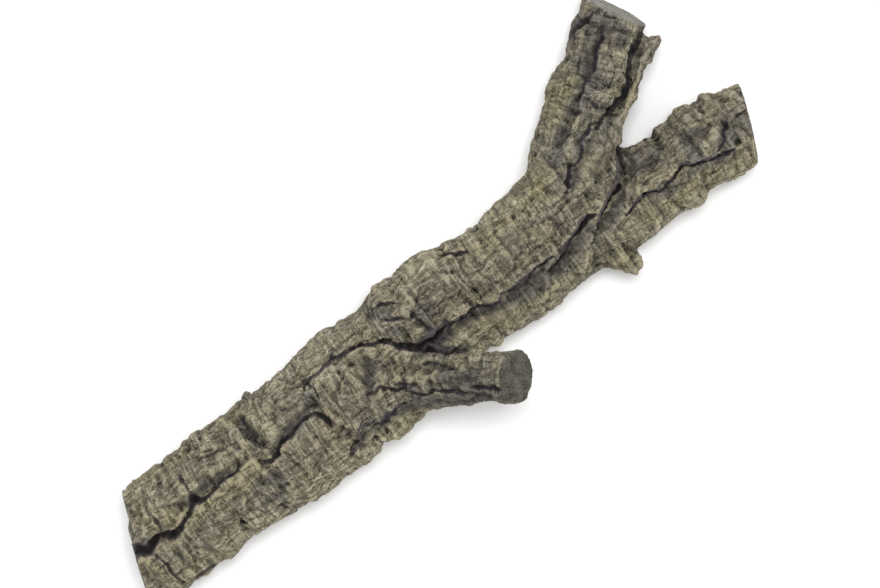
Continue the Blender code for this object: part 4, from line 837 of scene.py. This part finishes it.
bark, bark_normals = vertex_arrays(branch.data)
edges = np.empty(len(branch.data.edges) * 2, np.int32)
branch.data.edges.foreach_get("vertices", edges)
edges = edges.reshape(-1, 2)
counts = np.maximum(np.bincount(edges.ravel(), minlength=len(bark)), 1)
softened, hollows = np.hstack((bark, bark_normals)).astype(float), {}
for step in range(1, 61):
    softened = average_neighbours(edges, softened, counts)
    if step in (4, 20, 60):
        hollows[step] = np.einsum("ij,ij->i", softened[:, :3] - bark, bark_normals)
upper_side = ramp(softened[:, 5], -0.25, 0.25)


def keep(name, values):
    """Store one number per point on the branch's mesh for its materials."""
    branch.data.attributes.new(name, "FLOAT", "POINT").data.foreach_set("value", values.astype(np.float32))


keep("fine_hollow", hollows[4])
keep("hollow", hollows[20])
keep("deep_hollow", hollows[60])
keep("sawn", sawn_share(bark))
keep("worn", worn_share(bark, bark_normals))
keep("split", split_share(bark, bark_normals))

# Colour in places, as oval spots (x, y, half length, half width, angle). The first list is painted shade, dark and
# greyer, under the lips, in hollows, on the butt's sawn face and on flanks turned from the light, with some greyer bark
# among it, and it ends where the limb turns down to its flank; `mossy` ones are yellow-green, and `bleached` ones pale.
painted_shade_and_grey = [(-178, -16, 5, 19, 10), (-146, -32, 28, 6, 8), (-70, -36, 8, 17, -28), (-12, -42, 16, 7, 5),
        (-6, -22, 5, 15, 0), (-32, 3, 14, 8, -20), (-28, -16, 8, 8, 0), (-70, -73, 26, 6, 0),
        (-40, -80, 20, 10, -38), (-14, -98, 26, 9, -38), (8, -106, 18, 7, -38), (-8, -52, 20, 5, -38),
        (-6, -82, 20, 9, -38), (40, -46, 30, 6, -4), (84, -50, 30, 9, 0), (134, -48, 24, 11, 12),
        (150, -38, 14, 7, 25), (182, -40, 20, 7, 30), (164, 4, 16, 9, 42), (190, 22, 20, 9, 40),
        (176, 34, 16, 8, 38), (204, 54, 16, 9, 38), (222, 62, 14, 8, 30), (238, 78, 20, 10, 45),
        (252, 94, 24, 12, 45), (244, 108, 14, 5, 20), (238, 108, 9, 6, 38), (224, -26, 16, 8, -10),
        (236, -18, 10, 8, 0), (270, -26, 12, 7, -15), (272, -50, 26, 6, -8), (294, -44, 12, 12, 0),
        (228, -48, 20, 5, 0), (214, 24, 20, 6, 38), (-312, -42, 12, 10, 0), (-118, -24, 5, 12, 10), (-305, -4, 4, 8, 0), (-309, -21, 4, 8, 15),
        (-165, 10, 7, 6, 0), (124, -46, 40, 10, 0), (218, -14, 16, 10, -10), (261, -36, 8, 22, 0),
        (298, -30, 12, 8, 0), (308, -42, 10, 14, 0), (262, 92, 18, 12, 40), (234, 104, 10, 7, 38),
        (268, 78, 10, 7, 38), (166, 26, 12, 9, 40), (232, 62, 12, 8, 38), (-20, -96, 26, 12, -38),
        (-2, -14, 10, 8, 0), (-38, -66, 16, 5, -38), (-8, -72, 16, 4, -38), (100, -56, 40, 6, 0),
        (-232, -34, 30, 5, 0), (-190, -76, 7, 9, 0), (-182, -62, 7, 12, 0), (-300, -12, 4, 10, 0)]
mossy = [(-262, -84, 60, 12, 0), (-130, -86, 74, 12, 0), (-80, -84, 30, 10, 0), (10, -62, 22, 16, 0),
         (200, 66, 30, 12, 38), (30, -42, 40, 6, 0), (-230, -40, 60, 12, 0), (240, -64, 60, 14, -4),
         (-186, 4, 20, 8, 0),
         (-262, 2, 26, 7, 0), (60, -66, 60, 12, 0), (12, -60, 16, 12, 0), (165, -80, 18, 14, 0),
         (250, -68, 80, 10, -4), (90, 8, 40, 12, 6), (130, 14, 24, 14, 20), (-290, -26, 14, 16, 0),
         (-310, -56, 10, 12, 0), (282, 4, 16, 8, 0)]
bleached = [(-283, -26, 9, 15, 0), (-306, -22, 5, 12, 0), (-166, -12, 6, 16, 10), (-100, -14, 30, 8, 0),
            (-110, 6, 70, 10, 4), (10, 20, 50, 10, 0), (60, 12, 34, 8, 0), (14, -62, 18, 16, 0),
            (-230, -84, 74, 10, 0), (-130, -86, 70, 12, 0), (-270, -14, 8, 14, 0), (-250, -30, 18, 5, 0), (60, -72, 60, 7, 0), (240, -74, 80, 8, -4),
            (240, 44, 26, 8, 48), (280, 72, 14, 9, 45), (262, 58, 12, 9, 45), (100, 14, 30, 8, 8), (200, -4, 22, 6, 30),
            (24, -72, 22, 5, -38), (-290, 0, 30, 6, 0), (-214, 2, 20, 6, 0), (320, -10, 10, 12, 0)]
smudged = wandered(wandered(bark, 22.0, 7.0), 5.0, 1.6)[:, :2]
keep("painted_shade_and_grey", spot_share(smudged, painted_shade_and_grey) * upper_side)
keep("mossy", spot_share(smudged, mossy))
keep("bleached", spot_share(smudged, bleached))

# The branch is parted where the CAD solids are, across the trunk and at the roots of its three limbs, and
# each piece stands for the solid of its name. The finished branch's middle in plan goes to the origin.
TRUNK_PARTING_X = -55.0
CROTCH_OPENING_ANGLE = 20.0
FORK_ROOT = 14.0
PLAN_MIDDLE = np.array((-2.2, 1.4, 0.0))


def fork_ahead(places, angle):
    """Distance of points past a fork's root, and whether they lie on its side of the crotch."""
    along, across = limb_frame(angle)
    opening, beside = limb_frame(CROTCH_OPENING_ANGLE)
    start = CROTCH + along * FORK_ROOT
    offset = places[:, :2] - start
    side = offset @ beside if angle > CROTCH_OPENING_ANGLE else -(offset @ beside)
    return offset @ along, (side > 0) & (offset @ opening > -60)


def piece_of(places):
    """The number of the piece that each point belongs to."""
    piece = np.where(places[:, 0] < TRUNK_PARTING_X, 0, 1)
    for number, angle in ((3, TRUNK_ANGLE), (4, BENT_FORK_ANGLE)):
        ahead, beside = fork_ahead(places, angle)
        piece[(ahead > 0) & beside] = number
    ahead, out = side_reach(places)
    piece[(ahead > 0) & (out < 38)] = 2
    return piece


def face_centres(bm):
    return np.array([face.calc_center_median() for face in bm.faces]) / MM


def score(bm, faces, point, normal):
    """Cut a line of edges through some faces along a plane."""
    touched = [face for face, take in zip(list(bm.faces), faces) if take]
    edges = {edge for face in touched for edge in face.edges}
    verts = {vert for face in touched for vert in face.verts}
    bmesh.ops.bisect_plane(bm, geom=touched + list(edges) + list(verts), dist=1e-7,
                           plane_co=Vector(point) * MM, plane_no=Vector(normal))


bm = bmesh.new()
bm.from_mesh(branch.data)
centres = face_centres(bm)
score(bm, np.abs(centres[:, 0] - TRUNK_PARTING_X) < 4, (TRUNK_PARTING_X, 0, 0), (1, 0, 0))
for angle in (TRUNK_ANGLE, BENT_FORK_ANGLE):
    centres = face_centres(bm)
    ahead, beside = fork_ahead(centres, angle)
    along, _ = limb_frame(angle)
    root = CROTCH + along * FORK_ROOT
    score(bm, (np.abs(ahead) < 4) & beside, (*root, 0), (*along, 0))
centres = face_centres(bm)
ahead, out = side_reach(centres)
score(bm, (np.abs(ahead) < 4) & (out < 42), SIDE_ROOT, side_axis())
bmesh.ops.translate(bm, vec=Vector(-PLAN_MIDDLE * MM), verts=bm.verts[:])
numbers = piece_of(face_centres(bm) + PLAN_MIDDLE)
bm.to_mesh(branch.data)
bm.free()


def take_piece(number, node, finish):
    """Make one piece of the branch, closed where it was parted, to stand for a CAD node."""
    bm = bmesh.new()
    bm.from_mesh(branch.data)
    others = [face for face, owner in zip(bm.faces, numbers) if owner != number]
    bmesh.ops.delete(bm, geom=others, context="FACES")
    for face in bm.faces:
        face.smooth = True
    rim = [edge for edge in bm.edges if edge.is_boundary]
    caps = bmesh.ops.holes_fill(bm, edges=rim, sides=0)["faces"]
    caps = bmesh.ops.triangulate(bm, faces=caps)["faces"]
    for face in caps:
        face.smooth = False
    mesh = bpy.data.meshes.new(node + "_bark")
    bm.to_mesh(mesh)
    bm.free()
    mesh.materials.append(finish)
    piece = bpy.data.objects.new(node + "_bark", mesh)
    bpy.context.collection.objects.link(piece)
    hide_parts(node)
    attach(piece, "root")
    return piece


# The finish of cork bark that has weathered dry: grey-brown cork, with painted shade, dark and faintly purple, in its
# cracks and hollows and a painted highlight on its crests, yellow-green algae on the flanks, and grey open grain where
# it was sawn.
class Level:
    """A socket in a material's tree, on which shader maths is written as plain arithmetic."""

    def __init__(self, tree, socket=None):
        self.tree, self.socket = tree, socket

    def node(self, kind, settings=None, inputs=None, output=0):
        """Add a node: its settings first, then the values or links of its sockets."""
        made = self.tree.nodes.new(kind)
        for name, value in (settings or {}).items():
            setattr(made, name, value)
        for name, value in (inputs or {}).items():
            if isinstance(value, Level):
                self.tree.links.new(value.socket, made.inputs[name])
            else:
                made.inputs[name].default_value = value
        return Level(self.tree, made.outputs[output])

    def math(self, operation, *values, clamp=False):
        return self.node("ShaderNodeMath", {"operation": operation, "use_clamp": clamp},
                         dict(enumerate(values)))

    def __add__(self, other):
        return self.math("ADD", self, other)

    def __sub__(self, other):
        return self.math("SUBTRACT", self, other)

    def __rsub__(self, other):
        return self.math("SUBTRACT", other, self)

    def __mul__(self, other):
        return self.math("MULTIPLY", self, other)

    __radd__, __rmul__ = __add__, __mul__

    def between(self, low, high):
        """A smooth step of this value, from 0 at low to 1 at high."""
        return self.node("ShaderNodeMapRange", {"interpolation_type": "SMOOTHSTEP"},
                         {"Value": self, "From Min": low, "From Max": high})

    def tint(self, under, over):
        """Mix two colours by this value."""
        return self.node("ShaderNodeMix", {"data_type": "RGBA"}, {0: self, 6: under, 7: over}, output=2)


def bark_finish(name, grain_turn, grey, algae_share, paleness, end_dark, end_pale):
    """Weathered cork whose grain runs along X turned by `grain_turn`, with its share of grey and of algae,
    how pale it is, and the two colours that its sawn end lies between."""
    material = bpy.data.materials.new(name)
    material.use_nodes = True
    tree = material.node_tree
    surface = tree.nodes["Principled BSDF"]
    start = Level(tree)
    place = start.node("ShaderNodeTexCoord", output="Object")
    along_grain = start.node("ShaderNodeMapping", {"vector_type": "TEXTURE"},
                             {"Vector": place, "Rotation": grain_turn})

    def speckle(size, detail, roughness=0.6):
        return start.node("ShaderNodeTexNoise", None,
                          {"Vector": place, "Scale": 1 / size, "Detail": detail, "Roughness": roughness})

    def thread(along, across):
        """A noise drawn out along the grain or across it."""
        stretched = start.node("ShaderNodeMapping", None, {
            "Vector": along_grain, "Scale": (1 / along, 1 / across, 1 / across)})
        return start.node("ShaderNodeTexNoise", None, {"Vector": stretched, "Scale": 1.0, "Detail": 2})

    def kept(name):
        return start.node("ShaderNodeAttribute", {"attribute_name": name}, output="Fac")

    cloud = speckle(0.042, 3)
    mottle = speckle(0.010, 4)
    grit = speckle(0.0014, 3, 0.75)
    crosswise = speckle(0.022, 1).between(0.42, 0.54)
    weave = thread(0.0150, 0.0018) * (1 - crosswise) + thread(0.0019, 0.0130) * crosswise
    colour = (cloud + grey).between(0.40, 0.60).tint((0.142, 0.126, 0.083, 1), (0.130, 0.120, 0.092, 1))
    algae = (mottle * 0.35 + cloud * 0.65 + algae_share).between(0.46, 0.60) * 0.4 + kept("mossy") * 0.5
    colour = algae.tint(colour, (0.168, 0.151, 0.084, 1))
    colour = (mottle.between(0.46, 0.68) * 0.35).tint(colour, (0.078, 0.069, 0.056, 1))
    colour = (speckle(0.0035, 2).between(0.50, 0.66) * 0.35).tint(colour, (0.165, 0.126, 0.104, 1))
    painted_shade_and_grey, bleached = kept("painted_shade_and_grey"), kept("bleached")
    # Painted shade, with some greyer bark: spots under the lips, in hollows, on the butt's sawn face and on flanks
    # turned from the light go dark and grey.
    colour = (painted_shade_and_grey * 0.8).tint(colour, (0.068, 0.062, 0.055, 1))
    colour = (bleached * 0.65).tint(colour, (0.212, 0.194, 0.136, 1))
    # Painted shade: the deeper a point lies in a hollow or a drawn crack, the nearer its colour goes to a dark purple,
    # for the shade that falls there.
    fine_hollow, hollow, deep_hollow = kept("fine_hollow"), kept("hollow"), kept("deep_hollow")
    depth = fine_hollow * 1.2 + hollow * 0.45 + deep_hollow * 0.2
    sunk = depth.between(0.5, 2.4)
    split, worn = kept("split"), kept("worn")
    shaded = start.math("MAXIMUM", sunk, split.between(0.1, 0.55)) * 0.85
    colour = shaded.tint(colour, (0.025, 0.020, 0.025, 1))
    crease = start.math("ABSOLUTE", thread(0.0210, 0.0048) - 0.5).between(0.026, 0.0)
    seam = start.math("ABSOLUTE", thread(0.0052, 0.0160) - 0.5).between(0.026, 0.0)
    lines = (crease + seam) * (mottle.between(0.56, 0.40))
    # Painted light and shade on top of the grain: the crest value carries the weave, grit and line pattern, and through
    # the hollow depth it also lightens ridges as a painted highlight and darkens hollows as painted shade.
    crest = ((weave - 0.5) * 4.4 + (grit - 0.5) * 5.8 - lines * 1.3) * (1 - worn * 0.5) - depth
    shade = start.math("POWER", 1.65, start.math("MINIMUM", crest, 1.6)) * paleness
    colour = start.node("ShaderNodeVectorMath", {"operation": "SCALE"}, {0: colour, "Scale": shade})
    end_wood = (grit * 0.7 + mottle * 0.3).between(0.42, 0.58).tint(end_dark, end_pale)
    colour = (kept("sawn") * (1 - sunk)).tint(colour, end_wood)
    tree.links.new(colour.socket, surface.inputs["Base Color"])
    tree.links.new((0.84 + 0.14 * mottle).socket, surface.inputs["Roughness"])
    surface.inputs["Specular IOR Level"].default_value = 0.25
    bump = start.node("ShaderNodeBump", None, {"Strength": 1.0, "Distance": 0.0014,
                                               "Height": weave * 0.6 + grit * 0.6 - lines * 0.4})
    tree.links.new(bump.socket, surface.inputs["Normal"])
    return material


trunk_finish = bark_finish("trunk_bark", (0, 0, 0), 0.0, 0.0, 1.02,
                           (0.062, 0.058, 0.050, 1), (0.170, 0.160, 0.136, 1))
lower_trunk = take_piece(0, "lower_trunk", trunk_finish)
upper_trunk = take_piece(1, "upper_trunk", trunk_finish)
straight_fork = take_piece(3, "straight_fork", trunk_finish)
side_finish = bark_finish("side_branch_bark",
                          (0, -math.radians(SIDE_BRANCH_RISE), math.radians(SIDE_BRANCH_ANGLE)),
                          0.08, -0.06, 0.80, (0.045, 0.042, 0.034, 1), (0.128, 0.119, 0.094, 1))
side_branch = take_piece(2, "side_branch", side_finish)
bent_finish = bark_finish("bent_fork_bark", (0, 0, math.radians(BENT_FORK_ANGLE)), 0.05, -0.04, 0.94,
                          (0.150, 0.141, 0.124, 1), (0.330, 0.312, 0.276, 1))
bent_fork = take_piece(4, "bent_fork", bent_finish)
bpy.data.objects.remove(branch, do_unlink=True)

# The floor, a plain pale sheet, and soft studio light from beyond the branch with a strong pale surround.
floor_bm = bmesh.new()
bmesh.ops.create_grid(floor_bm, x_segments=1, y_segments=1, size=4.0)
floor_mesh = bpy.data.meshes.new("floor")
floor_bm.to_mesh(floor_mesh)
floor_bm.free()
floor = bpy.data.objects.new("floor", floor_mesh)
bpy.context.collection.objects.link(floor)
paper = bpy.data.materials.new("pale_floor")
paper.use_nodes = True
paper.node_tree.nodes["Principled BSDF"].inputs["Base Color"].default_value = (0.93, 0.93, 0.93, 1)
paper.node_tree.nodes["Principled BSDF"].inputs["Roughness"].default_value = 0.9
floor.data.materials.append(paper)

PHOTO_TURN = math.radians(35.0)
rightward = Vector((math.cos(PHOTO_TURN), -math.sin(PHOTO_TURN), 0))
upward = Vector((math.sin(PHOTO_TURN), math.cos(PHOTO_TURN), 0))

softbox = bpy.data.lights.new("softbox", "AREA")
softbox.shape = "RECTANGLE"
softbox.size, softbox.size_y = 1.1, 0.9
softbox.energy = 62
lamp = bpy.data.objects.new("softbox", softbox)
lamp.location = upward * 0.45 + rightward * 0.15 + Vector((0, 0, 3.0))
lamp.rotation_euler = (-lamp.location).to_track_quat("-Z", "Y").to_euler()
bpy.context.collection.objects.link(lamp)

surround = bpy.data.worlds.new("surround")
surround.use_nodes = True
surround.node_tree.nodes["Background"].inputs["Color"].default_value = (1, 1, 1, 1)
surround.node_tree.nodes["Background"].inputs["Strength"].default_value = 0.78
bpy.context.scene.world = surround
bpy.context.scene.view_settings.view_transform = "Standard"

camera_data = bpy.data.cameras.new("camera")
camera_data.lens = 101.0
camera_data.sensor_width = 36.0
camera = bpy.data.objects.new("camera", camera_data)
straight_down = Matrix((rightward, upward, Vector((0, 0, 1)))).transposed().to_4x4()
camera.matrix_world = Matrix.Translation((0.0211, -0.0143, 2.145)) @ straight_down
bpy.context.collection.objects.link(camera)
bpy.context.scene.camera = camera
